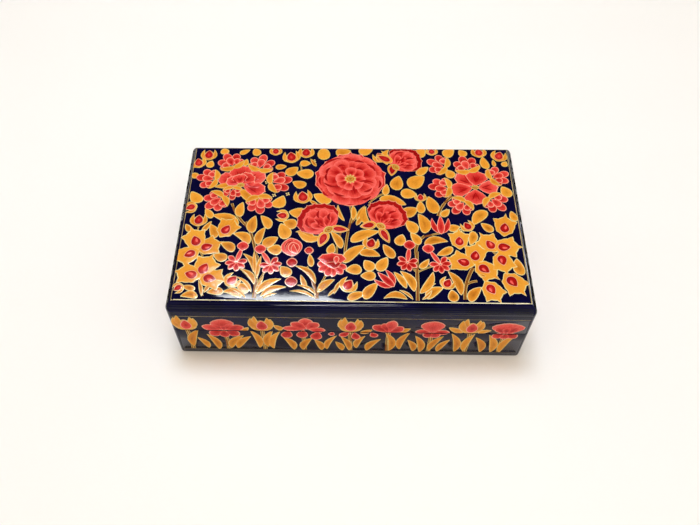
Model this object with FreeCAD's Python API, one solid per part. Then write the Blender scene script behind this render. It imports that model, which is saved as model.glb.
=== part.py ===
"""A rectangular lacquered papier-mache box with a hinged lid.

The frame is in millimetres: +X runs along the length, +Y towards the hinged back, +Z up, and the
origin is the middle of the underside. The base and the lid are each a board panel on four walls that
are mitred at the corners. Two small brass butt hinges are nailed to the outside of the back.
"""

import FreeCAD, Part
import math
import os

# The box as a whole
box_length = 200.0
box_depth = 119.0
base_height = 26.4
lid_height = 25.3
rim_gap = 0.3

# The boards
wall_thickness = 4.5
floor_thickness = 3.0
lid_panel_thickness = 4.5

# The rounding of the outside
corner_radius = 3.0
lid_edge_radius = 6.0
base_edge_radius = 1.2
rim_edge_radius = 0.4

# The velvet-covered card on the floor
lining_thickness = 1.2
lining_clearance = 0.3
lining_edge_radius = 0.4

# The hinges: a leaf is a plate from which the knuckles of one side are rolled
hinge_length = 22.0
hinge_end_margin = 27.0
leaf_thickness = 0.9
leaf_reach = 9.5
leaf_corner_radius = 1.2
knuckle_count = 3
knuckle_radius = 1.45
knuckle_side_gap = 0.15
knuckle_clearance = 0.3
pin_radius = 0.65
pin_clearance = 0.05

# The nails that hold the leaves
nails_per_leaf = 2
nail_end_margin = 4.5
nail_radius = 0.6
nail_grip = 3.4
nail_tip_length = 1.1
nail_head_radius = 1.2
nail_head_height = 0.6
nail_fit = 0.03
nail_hole_spare = 0.2

# How far a cutting tool runs past the face that it cuts
overrun = 2.0

# Levels and places that follow from the sizes
lid_bottom = base_height + rim_gap
box_height = lid_bottom + lid_height
lid_panel_bottom = box_height - lid_panel_thickness
inner_length = box_length - 2 * wall_thickness
inner_depth = box_depth - 2 * wall_thickness
back_face = box_depth / 2
axis_y = back_face + knuckle_radius + knuckle_clearance
axis_z = base_height + rim_gap / 2
leaf_start = knuckle_radius + knuckle_clearance
hinge_centre = box_length / 2 - hinge_end_margin - hinge_length / 2
nail_row = (leaf_start + leaf_reach) / 2

DOWN = -1
UP = 1


def vector(x, y, z):
    """A point or a direction."""
    return FreeCAD.Vector(x, y, z)


def rounded_rectangle(length, depth, radius, level):
    """The closed outline of a rectangle with round corners, centred on the Z axis."""
    half_length = length / 2
    half_depth = depth / 2
    bow = radius * (1 - math.sqrt(0.5))
    edges = []
    corners = [(1, -1), (1, 1), (-1, 1), (-1, -1)]
    starts = []
    for index, (side_x, side_y) in enumerate(corners):
        along_x = vector(side_x * (half_length - radius), side_y * half_depth, level)
        along_y = vector(side_x * half_length, side_y * (half_depth - radius), level)
        middle = vector(side_x * (half_length - bow), side_y * (half_depth - bow), level)
        first, last = (along_x, along_y) if index % 2 == 0 else (along_y, along_x)
        starts.append((first, middle, last))
    for index, (first, middle, last) in enumerate(starts):
        following = starts[(index + 1) % len(starts)][0]
        edges.append(Part.Arc(first, middle, last).toShape())
        edges.append(Part.LineSegment(last, following).toShape())
    return Part.Wire(edges)


def plate(length, depth, radius, bottom, top):
    """An upright plate with round corners between two levels."""
    outline = rounded_rectangle(length, depth, radius, bottom)
    return Part.Face(outline).extrude(vector(0, 0, top - bottom))


def block(low, high):
    """A plain block between two corners."""
    size = high - low
    return Part.makeBox(size.x, size.y, size.z, low)


def slab(bottom, top):
    """A block wider than the box between two levels, which takes one layer out of a form."""
    reach_x = box_length / 2 + overrun
    reach_y = box_depth / 2 + overrun
    return block(vector(-reach_x, -reach_y, bottom), vector(reach_x, reach_y, top))


def cavity(bottom, top):
    """The inside of the box between two levels."""
    half_length = inner_length / 2
    half_depth = inner_depth / 2
    return block(vector(-half_length, -half_depth, bottom), vector(half_length, half_depth, top))


def edges_at(shape, level):
    """The edges of a shape that lie flat at one level."""
    tolerance = rim_edge_radius / 100
    found = []
    for edge in shape.Edges:
        box = edge.BoundBox
        if abs(box.ZMin - level) < tolerance and abs(box.ZMax - level) < tolerance:
            found.append(edge)
    return found


def base_form():
    """The outside of the base as one block, with its lower edge and its rim rounded."""
    form = plate(box_length, box_depth, corner_radius, 0, base_height)
    form = form.makeFillet(base_edge_radius, edges_at(form, 0))
    return form.makeFillet(rim_edge_radius, edges_at(form, base_height))


def lid_form():
    """The outside of the lid as one block, with its rim and its wide upper edge rounded."""
    form = plate(box_length, box_depth, corner_radius, lid_bottom, box_height)
    form = form.makeFillet(rim_edge_radius, edges_at(form, lid_bottom))
    return form.makeFillet(lid_edge_radius, edges_at(form, box_height))


def mitre_wedge(side, bottom, top):
    """The upright wedge that one wall fills, bounded by the lines that halve the corners."""
    reach = overrun
    half_length = box_length / 2 + reach
    half_depth = box_depth / 2 + reach
    spine = half_length - half_depth
    front_left = vector(-half_length, -half_depth, bottom)
    front_right = vector(half_length, -half_depth, bottom)
    back_right = vector(half_length, half_depth, bottom)
    back_left = vector(-half_length, half_depth, bottom)
    spine_left = vector(-spine, 0, bottom)
    spine_right = vector(spine, 0, bottom)
    outlines = {
        "front": [front_left, front_right, spine_right, spine_left],
        "right": [front_right, back_right, spine_right],
        "back": [back_right, back_left, spine_left, spine_right],
        "left": [back_left, front_left, spine_left],
    }
    points = outlines[side]
    outline = Part.makePolygon(points + [points[0]])
    return Part.Face(outline).extrude(vector(0, 0, top - bottom))


def only_solid(shape):
    """The single solid that a cut has left."""
    return shape.Solids[0]


def walls_of(form, bottom, top):
    """The four walls between two levels of a form, by side."""
    ring = form.common(slab(bottom, top))
    ring = ring.cut(cavity(bottom - overrun, top + overrun))
    sides = ("front", "back", "left", "right")
    return {side: only_solid(ring.common(mitre_wedge(side, bottom, top))) for side in sides}


def across(x, y, z, radius, length, direction):
    """A cylinder that starts at a point and runs in a direction."""
    return Part.makeCylinder(radius, length, vector(x, y, z), direction)


def nail_places(hinge_x, way):
    """Where the nails of one leaf stand, as pairs of x and z."""
    first = hinge_x - hinge_length / 2 + nail_end_margin
    span = hinge_length - 2 * nail_end_margin
    pitch = span / (nails_per_leaf - 1)
    return [(first + pitch * index, axis_z + way * nail_row) for index in range(nails_per_leaf)]


def nail_holes(hinge_x, way):
    """The holes of one leaf's nails, through the leaf and blind in the wall."""
    radius = nail_radius + nail_fit
    depth = nail_grip + nail_hole_spare
    length = depth + leaf_thickness + overrun
    inward = back_face - depth
    places = nail_places(hinge_x, way)
    return [across(x, inward, z, radius, length, vector(0, 1, 0)) for x, z in places]


def knuckle_spans(hinge_x, way):
    """The start and end along X of the knuckles of one leaf: the base has the outer ones."""
    free = hinge_length - knuckle_side_gap * (knuckle_count - 1)
    length = free / knuckle_count
    first = 0 if way == DOWN else 1
    spans = []
    for index in range(first, knuckle_count, 2):
        start = hinge_x - hinge_length / 2 + index * (length + knuckle_side_gap)
        spans.append((start, start + length))
    return spans


def hinge_leaf(hinge_x, way):
    """One leaf: a plate on the back face, arms over the seam, and the knuckles round the pin."""
    low_x = hinge_x - hinge_length / 2
    high_x = hinge_x + hinge_length / 2
    near = axis_z + way * leaf_start
    far = axis_z + way * leaf_reach
    bottom, top = min(near, far), max(near, far)
    outer_face = back_face + leaf_thickness
    leaf = block(vector(low_x, back_face, bottom), vector(high_x, outer_face, top))
    corners = []
    for edge in leaf.Edges:
        middle = edge.CenterOfMass
        runs_through = edge.BoundBox.YLength > leaf_thickness / 2
        if runs_through and abs(middle.z - far) < leaf_corner_radius:
            corners.append(edge)
    leaf = leaf.makeFillet(leaf_corner_radius, corners)
    bores = []
    for start, end in knuckle_spans(hinge_x, way):
        bottom, top = min(near, axis_z), max(near, axis_z)
        arm = block(vector(start, back_face, bottom), vector(end, outer_face, top))
        barrel = across(start, axis_y, axis_z, knuckle_radius, end - start, vector(1, 0, 0))
        leaf = leaf.fuse(arm).fuse(barrel)
        bore_length = end - start + 2 * overrun
        bore_radius = pin_radius + pin_clearance
        bores.append(
            across(start - overrun, axis_y, axis_z, bore_radius, bore_length, vector(1, 0, 0))
        )
    for bore in bores + nail_holes(hinge_x, way):
        leaf = leaf.cut(bore)
    return only_solid(leaf.removeSplitter())


def hinge_pin(hinge_x):
    """The pin of one hinge, cut flush with the outer knuckles."""
    start = hinge_x - hinge_length / 2
    return across(start, axis_y, axis_z, pin_radius, hinge_length, vector(1, 0, 0))


def nail(x, z):
    """A nail driven through the leaf into the wall, turned from its half section."""
    seat = vector(x, back_face + leaf_thickness, z)
    outward = vector(0, 1, 0)
    out = vector(1, 0, 0)
    crown = seat + outward * nail_head_height
    tip = seat - outward * (leaf_thickness + nail_grip)
    shoulder = tip + outward * nail_tip_length
    corners = [
        crown,
        tip,
        shoulder + out * nail_radius,
        seat + out * nail_radius,
        seat + out * nail_head_radius,
        crown + out * nail_head_radius,
    ]
    outline = Part.makePolygon(corners + [crown])
    return Part.Face(outline).revolve(seat, outward, 360)


def leaf_nails(hinge_x, way):
    """The nails of one leaf, as separate solids in one group."""
    return Part.makeCompound([nail(x, z) for x, z in nail_places(hinge_x, way)])


def floor_lining():
    """The card on the floor of the base, a little smaller than the inside."""
    length = inner_length - 2 * lining_clearance
    depth = inner_depth - 2 * lining_clearance
    half_length = length / 2
    half_depth = depth / 2
    top = floor_thickness + lining_thickness
    card = block(vector(-half_length, -half_depth, floor_thickness),
                 vector(half_length, half_depth, top))
    return card.makeFillet(lining_edge_radius, edges_at(card, top))


def drilled(wall, way):
    """A back wall with the holes for the nails of both hinges."""
    for hinge_x in hinge_places.values():
        for hole in nail_holes(hinge_x, way):
            wall = wall.cut(hole)
    return only_solid(wall)


hinge_places = {"left": -hinge_centre, "right": hinge_centre}

base = base_form()
lid = lid_form()

nodes = {
    "base_floor": only_solid(base.common(slab(-overrun, floor_thickness))),
    "lid_top_panel": only_solid(lid.common(slab(lid_panel_bottom, box_height + overrun))),
    "floor_lining": floor_lining(),
}
for side, wall in walls_of(base, floor_thickness, base_height).items():
    nodes[f"base_{side}_wall"] = wall
for side, wall in walls_of(lid, lid_bottom, lid_panel_bottom).items():
    nodes[f"lid_{side}_wall"] = wall
nodes["base_back_wall"] = drilled(nodes["base_back_wall"], DOWN)
nodes["lid_back_wall"] = drilled(nodes["lid_back_wall"], UP)

for side, hinge_x in hinge_places.items():
    nodes[f"{side}_hinge_base_leaf"] = hinge_leaf(hinge_x, DOWN)
    nodes[f"{side}_hinge_lid_leaf"] = hinge_leaf(hinge_x, UP)
    nodes[f"{side}_hinge_pin"] = hinge_pin(hinge_x)
    nodes[f"{side}_hinge_base_nails"] = leaf_nails(hinge_x, DOWN)
    nodes[f"{side}_hinge_lid_nails"] = leaf_nails(hinge_x, UP)

os.makedirs("parts", exist_ok=True)
for name, shape in nodes.items():
    shape.exportStep(f"parts/{name}.step")
    print(name, "solids", len(shape.Solids), "valid", shape.isValid(), "volume", round(shape.Volume, 1))
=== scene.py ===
"""A lacquered papier-mache box with a hinged lid, painted with roses, irises and gold leaves."""
import logging
import math
import random
from collections.abc import Iterable, Sequence
from dataclasses import dataclass, field
from enum import Enum

import bmesh
import bpy
from mathutils import Matrix, Vector, noise


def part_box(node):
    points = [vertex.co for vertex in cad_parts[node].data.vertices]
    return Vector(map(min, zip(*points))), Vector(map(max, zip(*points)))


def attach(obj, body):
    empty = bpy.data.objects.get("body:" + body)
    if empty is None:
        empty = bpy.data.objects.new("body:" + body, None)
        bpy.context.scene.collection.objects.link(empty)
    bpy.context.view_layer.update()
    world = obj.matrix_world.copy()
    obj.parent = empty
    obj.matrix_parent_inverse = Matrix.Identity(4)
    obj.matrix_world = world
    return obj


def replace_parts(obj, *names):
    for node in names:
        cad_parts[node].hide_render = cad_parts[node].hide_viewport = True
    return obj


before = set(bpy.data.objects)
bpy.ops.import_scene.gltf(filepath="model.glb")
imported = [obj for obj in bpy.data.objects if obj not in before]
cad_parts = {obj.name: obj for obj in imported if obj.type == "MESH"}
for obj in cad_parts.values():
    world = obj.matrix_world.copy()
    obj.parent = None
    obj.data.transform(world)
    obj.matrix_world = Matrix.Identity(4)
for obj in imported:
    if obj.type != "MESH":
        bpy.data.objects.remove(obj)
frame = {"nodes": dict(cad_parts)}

LOG = logging.getLogger("papier_mache_box")
MM = 0.001
Colour = tuple[float, float, float]
Point = tuple[float, float]
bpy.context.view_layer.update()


# Shader graphs written as Python expressions

class Value:
    """A number that varies over a surface, with arithmetic that adds Math nodes."""

    def __init__(self, graph: "Graph", socket: bpy.types.NodeSocket) -> None:
        """Keep the graph and the output socket that carries the number."""
        self.graph = graph
        self.socket = socket

    def math(self, operation: str, *others: "Value | float",
             first: "Value | float | None" = None) -> "Value":
        """Apply a Math node.

        Args:
            operation: the Math node's operation.
            others: the second and third numbers.
            first: what takes this value's place in front, in a reflected form.

        Returns:
            The node's result.
        """
        terms = [self, *others] if first is None else [first, self]
        node = self.graph.node("ShaderNodeMath", {"operation": operation}, dict(enumerate(terms)))
        return Value(self.graph, node.outputs[0])

    def __add__(self, other: "Value | float") -> "Value":
        """Add a number."""
        return self.math("ADD", other)

    def __radd__(self, other: float) -> "Value":
        """Add this to a number."""
        return self.math("ADD", first=other)

    def __sub__(self, other: "Value | float") -> "Value":
        """Subtract a number."""
        return self.math("SUBTRACT", other)

    def __rsub__(self, other: float) -> "Value":
        """Subtract this from a number."""
        return self.math("SUBTRACT", first=other)

    def __mul__(self, other: "Value | float") -> "Value":
        """Multiply by a number."""
        return self.math("MULTIPLY", other)

    def __rmul__(self, other: float) -> "Value":
        """Multiply a number by this."""
        return self.math("MULTIPLY", first=other)

    def within(self, low: float, high: float) -> "Value":
        """Map the span from low to high onto 0 to 1, held at its ends."""
        node = self.graph.node(
            "ShaderNodeMapRange", {"clamp": True, "interpolation_type": "SMOOTHSTEP"},
            {"Value": self, "From Min": low, "From Max": high})
        return Value(self.graph, node.outputs[0])


class Graph:
    """The node tree of one material or world."""

    def __init__(self, owner: bpy.types.Material | bpy.types.World) -> None:
        """Empty the owner's node tree and keep it."""
        owner.use_nodes = True
        self.tree = owner.node_tree
        self.tree.nodes.clear()

    def node(self, kind: str, settings: dict | None = None, sockets: dict | None = None) -> bpy.types.Node:
        """Add a node.

        Args:
            kind: the node's type.
            settings: its properties, set first; stops holds a colour ramp's places and colours.
            sockets: input values or links by name or number.

        Returns:
            The node.
        """
        node = self.tree.nodes.new(kind)
        for name, setting in (settings or {}).items():
            if name == "stops":
                ramp = node.color_ramp
                while len(ramp.elements) < len(setting):
                    ramp.elements.new(0.5)
                for stop, (place, colour) in zip(ramp.elements, setting):
                    stop.position = place
                    stop.color = (*colour, 1.0)
            else:
                setattr(node, name, setting)
        for name, content in (sockets or {}).items():
            target = node.inputs[name]
            if isinstance(content, Value):
                self.tree.links.new(content.socket, target)
            elif isinstance(content, bpy.types.NodeSocket):
                self.tree.links.new(content, target)
            elif isinstance(content, tuple) and len(content) == 3 and target.type == "RGBA":
                target.default_value = (*content, 1.0)
            else:
                target.default_value = content
        return node

    def object_place(self) -> bpy.types.NodeSocket:
        """Return the place on the piece, in metres."""
        return self.node("ShaderNodeTexCoord").outputs["Object"]

    def attribute(self, name: str) -> Value:
        """Return a number that is stored on the mesh."""
        return Value(self, self.node("ShaderNodeAttribute", {"attribute_name": name}).outputs["Fac"])

    def stretched(self, place: bpy.types.NodeSocket,
                  scale: tuple[float, float, float]) -> bpy.types.NodeSocket:
        """Scale a place along its three directions."""
        return self.node("ShaderNodeMapping", {}, {"Vector": place, "Scale": scale}).outputs[0]

    def noise(self, place: bpy.types.NodeSocket, scale: float, detail: float = 2.0,
              rough: float = 0.5) -> Value:
        """Return smooth noise around 0.5."""
        node = self.node("ShaderNodeTexNoise", {}, {
            "Vector": place, "Scale": scale, "Detail": detail, "Roughness": rough})
        return Value(self, node.outputs[0])

    def mix(self, share: Value, first: "Colour | bpy.types.NodeSocket",
            second: "Colour | bpy.types.NodeSocket") -> bpy.types.NodeSocket:
        """Mix two colours.

        Args:
            share: 0 for the first colour and 1 for the second.
            first: a colour or a colour socket.
            second: a colour or a colour socket.

        Returns:
            The mixed colour.
        """
        node = self.node("ShaderNodeMix", {"data_type": "RGBA", "clamp_factor": True},
                         {0: share, 6: first, 7: second})
        return node.outputs[2]

    def ramp(self, share: Value, stops: Sequence[tuple[float, Colour]]) -> bpy.types.NodeSocket:
        """Return the colour of a ramp at a share of its length."""
        return self.node("ShaderNodeValToRGB", {"stops": stops}, {0: share}).outputs[0]

    def bump(self, height: Value, distance: float, strength: float = 1.0) -> bpy.types.NodeSocket:
        """Return a normal that is roughened by a height."""
        node = self.node("ShaderNodeBump", {}, {"Height": height, "Distance": distance, "Strength": strength})
        return node.outputs[0]

    def seen(self) -> Value:
        """Return 1 where this is seen, directly or in metal or glass, and 0 where it only gives light."""
        ways = self.node("ShaderNodeLightPath").outputs
        camera, glossy, through = (
            Value(self, ways[name]) for name in ("Is Camera Ray", "Is Glossy Ray", "Is Transmission Ray"))
        return camera + glossy + through

    def surface(self, sockets: dict) -> bpy.types.Node:
        """Finish the material with a Principled shader that has these sockets."""
        shader = self.node("ShaderNodeBsdfPrincipled", {}, sockets)
        self.node("ShaderNodeOutputMaterial", {}, {"Surface": shader.outputs[0]})
        return shader


def new_graph(name: str) -> tuple[bpy.types.Material, Graph]:
    """Make an empty material.

    Args:
        name: the material's name.

    Returns:
        The material and its graph.
    """
    material = bpy.data.materials.new(name)
    return material, Graph(material)


# Finishes

@dataclass(frozen=True)
class Lacquer:
    """Dark blue-black lacquer, rubbed down by hand and varnished to a high gloss."""

    name: str = "lacquer"
    deep: Colour = (0.0016, 0.0016, 0.0185)
    bright: Colour = (0.0029, 0.0026, 0.0315)
    patch_scale: float = 70.0
    roughness: float = 0.035
    ripple: float = 0.000015
    ripple_scale: float = 55.0

    def material(self) -> bpy.types.Material:
        """Return the lacquer's material."""
        material, graph = new_graph(self.name)
        place = graph.object_place()
        patches = graph.noise(place, self.patch_scale, 3.0).within(0.38, 0.66)
        wear = graph.noise(place, 320.0, 3.0, 0.6)
        ripple = graph.noise(place, self.ripple_scale, 2.0) + graph.noise(place, 260.0, 1.0) * 0.12
        graph.surface({
            "Base Color": graph.mix(patches, self.deep, self.bright),
            "Roughness": self.roughness + wear.within(0.5, 0.75) * 0.03,
            "IOR": 1.5,
            "Specular IOR Level": 0.085,
            "Normal": graph.bump(ripple, self.ripple),
        })
        return material


@dataclass(frozen=True)
class Paint:
    """Opaque colour laid on with a fine brush and varnished; the stroke's own shade picks its colour."""

    name: str
    stops: tuple[tuple[float, Colour], ...]
    roughness: float = 0.09
    streak: float = 0.16
    grain: float = 0.10

    def material(self) -> bpy.types.Material:
        """Return the paint's material."""
        material, graph = new_graph(self.name)
        stroke = graph.node("ShaderNodeUVMap", {"uv_map": "stroke"}).outputs[0]
        streaks = graph.noise(graph.stretched(stroke, (1.0, 0.16, 1.0)), 1.5, 2.0)
        grain = graph.noise(graph.object_place(), 900.0, 2.0)
        shade = graph.attribute("shade") + (streaks - 0.5) * (self.streak * 2.0)
        shade = shade + (grain - 0.5) * (self.grain * 2.0)
        height = streaks * 0.6 + grain * 0.4
        graph.surface({
            "Base Color": graph.ramp(shade, self.stops),
            "Roughness": self.roughness + grain * 0.08,
            "IOR": 1.5,
            "Specular IOR Level": 0.09,
            "Normal": graph.bump(height, 0.00003),
        })
        return material


LEAF_PAINT = Paint("leaf_paint", (
    (0.0, (0.26, 0.068, 0.006)), (0.38, (0.56, 0.180, 0.014)),
    (0.66, (0.79, 0.315, 0.028)), (1.0, (0.88, 0.45, 0.058))))
PETAL_PAINT = Paint("petal_paint", (
    (0.0, (0.20, 0.003, 0.004)), (0.36, (0.47, 0.008, 0.008)),
    (0.66, (0.75, 0.055, 0.041)), (1.0, (0.90, 0.165, 0.130))))
CREAM_LINE = Paint("rose_cream_line", (
    (0.0, (0.62, 0.16, 0.10)), (0.5, (0.84, 0.34, 0.22)), (1.0, (0.90, 0.62, 0.46))), streak=0.1)
GOLD_LINE = Paint("pale_gold_line", (
    (0.0, (0.36, 0.20, 0.030)), (0.5, (0.66, 0.47, 0.120)), (1.0, (0.88, 0.80, 0.46))), streak=0.2)
# Gold line paint whose shade is painted light: set palest as a painted highlight along the lid's front and darkest
# as painted shade near the foot.
GOLD_LINE_PAINTED_LIGHT = Paint("gold_line_painted_light", (
    (0.0, (0.07, 0.055, 0.040)), (0.4, (0.24, 0.18, 0.085)), (0.75, (0.66, 0.52, 0.22)),
    (1.0, (0.90, 0.82, 0.55))), streak=0.35)
STEM_PAINT = Paint("stem_paint", (
    (0.0, (0.09, 0.025, 0.006)), (0.5, (0.26, 0.085, 0.016)), (1.0, (0.50, 0.24, 0.05))))


# The box's form

def rise(angle: float) -> float:
    """Return 1 minus the cosine of an angle in radians."""
    return 1.0 - math.cos(angle)


@dataclass
class BoxForm:
    """The box's sizes in millimetres, read from the frame or repeated from the part's driving sizes."""

    edge_radius: float = 6.0
    corner_radius: float = 3.0
    base_edge_radius: float = 0.6
    rim_radius: float = 0.4
    wall: float = 4.5
    corner_steps: int = 6
    length: float = field(init=False)
    depth: float = field(init=False)
    height: float = field(init=False)
    base_top: float = field(init=False)
    lid_bottom: float = field(init=False)
    lid_ceiling: float = field(init=False)
    floor_top: float = field(init=False)

    def __post_init__(self) -> None:
        """Read the sizes that the frame holds."""
        panel_low, panel_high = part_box("lid_top_panel")
        front_low, front_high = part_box("base_front_wall")
        self.length = 2.0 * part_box("base_right_wall")[1].x / MM
        self.depth = -2.0 * front_low.y / MM
        self.height = panel_high.z / MM
        self.base_top = front_high.z / MM
        self.lid_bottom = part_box("lid_front_wall")[0].z / MM
        self.lid_ceiling = panel_low.z / MM
        self.floor_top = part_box("base_floor")[1].z / MM

    def inset_at(self, x: float, y: float) -> float:
        """Return how far a point of the plan lies inside the outline.

        Args:
            x: place along the length, in millimetres.
            y: place along the depth, in millimetres.

        Returns:
            The least distance to the rounded outline, in millimetres.
        """
        side, end = self.length / 2 - abs(x), self.depth / 2 - abs(y)
        if side < self.corner_radius and end < self.corner_radius:
            return self.corner_radius - math.hypot(self.corner_radius - side, self.corner_radius - end)
        return min(side, end)

    def lid_drop(self, inset: float) -> float:
        """Return how far the rounded lid edge lies below the flat top at an inset, in millimetres."""
        reach = min(max(self.edge_radius - inset, 0.0), self.edge_radius)
        return self.edge_radius - math.sqrt(self.edge_radius ** 2 - reach ** 2)


def add_ring(bm: bmesh.types.BMesh, form: BoxForm, inset: float, z: float) -> list[bmesh.types.BMVert]:
    """Add one closed rounded rectangle of vertices and edges.

    Args:
        bm: the mesh to add to.
        form: the box's sizes.
        inset: how far the ring lies inside the outline, in millimetres.
        z: the ring's height, in millimetres.

    Returns:
        The ring's vertices in order.
    """
    steps = form.corner_steps + 1
    made = bmesh.ops.create_circle(bm, segments=4 * steps, radius=1.0)["verts"]
    place_ring(form, made, inset, z)
    return made


def place_ring(form: BoxForm, ring: Sequence[bmesh.types.BMVert], inset: float, z: float) -> None:
    """Move a ring's vertices onto the rounded rectangle at an inset and a height."""
    radius = max(form.corner_radius - inset, 0.0)
    half_x, half_y = form.length / 2 - inset - radius, form.depth / 2 - inset - radius
    steps = form.corner_steps + 1
    for number, vert in enumerate(ring):
        quarter, step = divmod(number, steps)
        angle = math.radians(90.0 * quarter + 90.0 * step / form.corner_steps)
        sign_x = 1 if quarter in (0, 3) else -1
        sign_y = 1 if quarter in (0, 1) else -1
        vert.co = Vector((sign_x * half_x + radius * math.cos(angle),
                          sign_y * half_y + radius * math.sin(angle), z)) * MM


def shell_mesh(form: BoxForm, rings: Sequence[Point]) -> bmesh.types.BMesh:
    """Build a closed shell by drawing one ring out through a list of insets and heights.

    Args:
        form: the box's sizes.
        rings: inset and height of each ring, from the middle of the hollow round the rim to the outside.

    Returns:
        The finished mesh.
    """
    bm = bmesh.new()
    ring = add_ring(bm, form, *rings[0])
    bmesh.ops.contextual_create(bm, geom=ring)
    edges = bm.edges[:]
    for inset, z in rings[1:]:
        edges = boundary_of(bmesh.ops.extrude_edge_only(bm, edges=edges)["geom"])
        ring = ordered_ring(edges, ring)
        place_ring(form, ring, inset, z)
    bmesh.ops.contextual_create(bm, geom=ring)
    bmesh.ops.remove_doubles(bm, verts=bm.verts, dist=0.002 * MM)
    bmesh.ops.recalc_face_normals(bm, faces=bm.faces)
    for face in bm.faces:
        face.smooth = len(face.verts) <= 4
    return bm


def boundary_of(drawn: Iterable) -> list[bmesh.types.BMEdge]:
    """Return the open edges among what an operator has drawn."""
    return [item for item in drawn if isinstance(item, bmesh.types.BMEdge) and item.is_boundary]


def ordered_ring(edges: Iterable[bmesh.types.BMEdge],
                 before: Sequence[bmesh.types.BMVert]) -> list[bmesh.types.BMVert]:
    """Return the new ring's vertices in the order of the ring that they were drawn from."""
    new = {vert for edge in edges for vert in edge.verts}
    return [next(edge.other_vert(vert) for edge in vert.link_edges if edge.other_vert(vert) in new)
            for vert in before]


def finish_mesh(name: str, bm: bmesh.types.BMesh, materials: Sequence[bpy.types.Material],
                body: str) -> bpy.types.Object:
    """Turn a finished mesh into a piece that rides on a body.

    Args:
        name: the piece's name.
        bm: its mesh, in metres in the frame.
        materials: its materials in the order of the faces' numbers.
        body: the body that it rides on.

    Returns:
        The piece.
    """
    mesh = bpy.data.meshes.new(name)
    bm.to_mesh(mesh)
    bm.free()
    for material in materials:
        mesh.materials.append(material)
    piece = bpy.data.objects.new(name, mesh)
    bpy.context.scene.collection.objects.link(piece)
    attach(piece, body)
    LOG.info("%s: %d faces on %s", name, len(mesh.polygons), body)
    return piece


def sharpen(bm: bmesh.types.BMesh, angle: float) -> None:
    """Mark the edges whose faces meet at more than an angle in degrees as sharp."""
    for edge in bm.edges:
        if len(edge.link_faces) == 2 and edge.calc_face_angle(0.0) > math.radians(angle):
            edge.smooth = False


def weigh_normals(piece: bpy.types.Object) -> None:
    """Let the large flat faces of a piece shade as flat, up to the small rounded ones beside them."""
    modifier = piece.modifiers.new("weighted_normals", "WEIGHTED_NORMAL")
    modifier.keep_sharp = True


@dataclass
class LidShell:
    """The lid's boards as one lacquered skin: hollow, rim, sides, rounded edge and flat top."""

    form: BoxForm
    round_steps: int = 14
    band: float = 0.7

    def rings(self) -> list[Point]:
        """Return the inset and height of each ring, from the ceiling of the hollow to the flat top."""
        form = self.form
        rim, bottom, ceiling = form.rim_radius, form.lid_bottom, form.lid_ceiling
        places = [(form.wall + self.band, ceiling), (form.wall, ceiling), (form.wall, ceiling - self.band),
                  (form.wall, bottom + rim)]
        places += [(form.wall - rim * rise(math.radians(a)), bottom + rim * (1 - math.sin(math.radians(a))))
                   for a in (22.5, 45, 67.5, 90)]
        places += [(rim * (1 - math.sin(math.radians(a))), bottom + rim * rise(math.radians(a)))
                   for a in (0, 22.5, 45, 67.5, 90)]
        radius, top = form.edge_radius, form.height
        for step in range(self.round_steps + 1):
            angle = math.radians(90.0 * step / self.round_steps)
            places.append((radius * rise(angle), top - radius * (1 - math.sin(angle))))
        places.append((radius + self.band, top))
        return places

    def build(self, lacquer: bpy.types.Material) -> bpy.types.Object:
        """Make the lid's skin.

        Args:
            lacquer: its material.

        Returns:
            The piece, which stands for the lid's boards.
        """
        bm = shell_mesh(self.form, self.rings())
        sharpen(bm, 40.0)
        piece = finish_mesh("lid_lacquer", bm, [lacquer], "lid")
        weigh_normals(piece)
        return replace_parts(piece, "lid_top_panel", "lid_front_wall", "lid_back_wall",
                           "lid_left_wall", "lid_right_wall")


@dataclass
class BaseShell:
    """The base's boards as one lacquered skin: hollow, rim, sides and underside."""

    form: BoxForm
    band: float = 0.7

    def rings(self) -> list[Point]:
        """Return the inset and height of each ring, from the floor of the hollow to the underside."""
        form = self.form
        rim, top, floor, foot = form.rim_radius, form.base_top, form.floor_top, form.base_edge_radius
        places = [(form.wall + self.band, floor), (form.wall, floor), (form.wall, floor + self.band),
                  (form.wall, top - rim)]
        places += [(form.wall - rim * rise(math.radians(a)), top - rim * (1 - math.sin(math.radians(a))))
                   for a in (22.5, 45, 67.5, 90)]
        places += [(rim * (1 - math.sin(math.radians(a))), top - rim * rise(math.radians(a)))
                   for a in (0, 22.5, 45, 67.5, 90)]
        places += [(foot * rise(math.radians(a)), foot * (1 - math.sin(math.radians(a))))
                   for a in (0, 18, 36, 54, 72, 90)]
        places.append((foot + self.band, 0.0))
        return places

    def build(self, lacquer: bpy.types.Material) -> bpy.types.Object:
        """Make the base's skin.

        Args:
            lacquer: its material.

        Returns:
            The piece, which stands for the base's boards.
        """
        bm = shell_mesh(self.form, self.rings())
        sharpen(bm, 40.0)
        piece = finish_mesh("base_lacquer", bm, [lacquer], "base")
        weigh_normals(piece)
        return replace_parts(piece, "base_floor", "base_front_wall", "base_back_wall",
                           "base_left_wall", "base_right_wall")


# Paint laid on the box

class Face(Enum):
    """A face of the box that is painted; a point on it is given as seen from outside."""

    TOP = "top"
    FRONT = "front"
    BACK = "back"
    LEFT = "left"
    RIGHT = "right"


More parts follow.
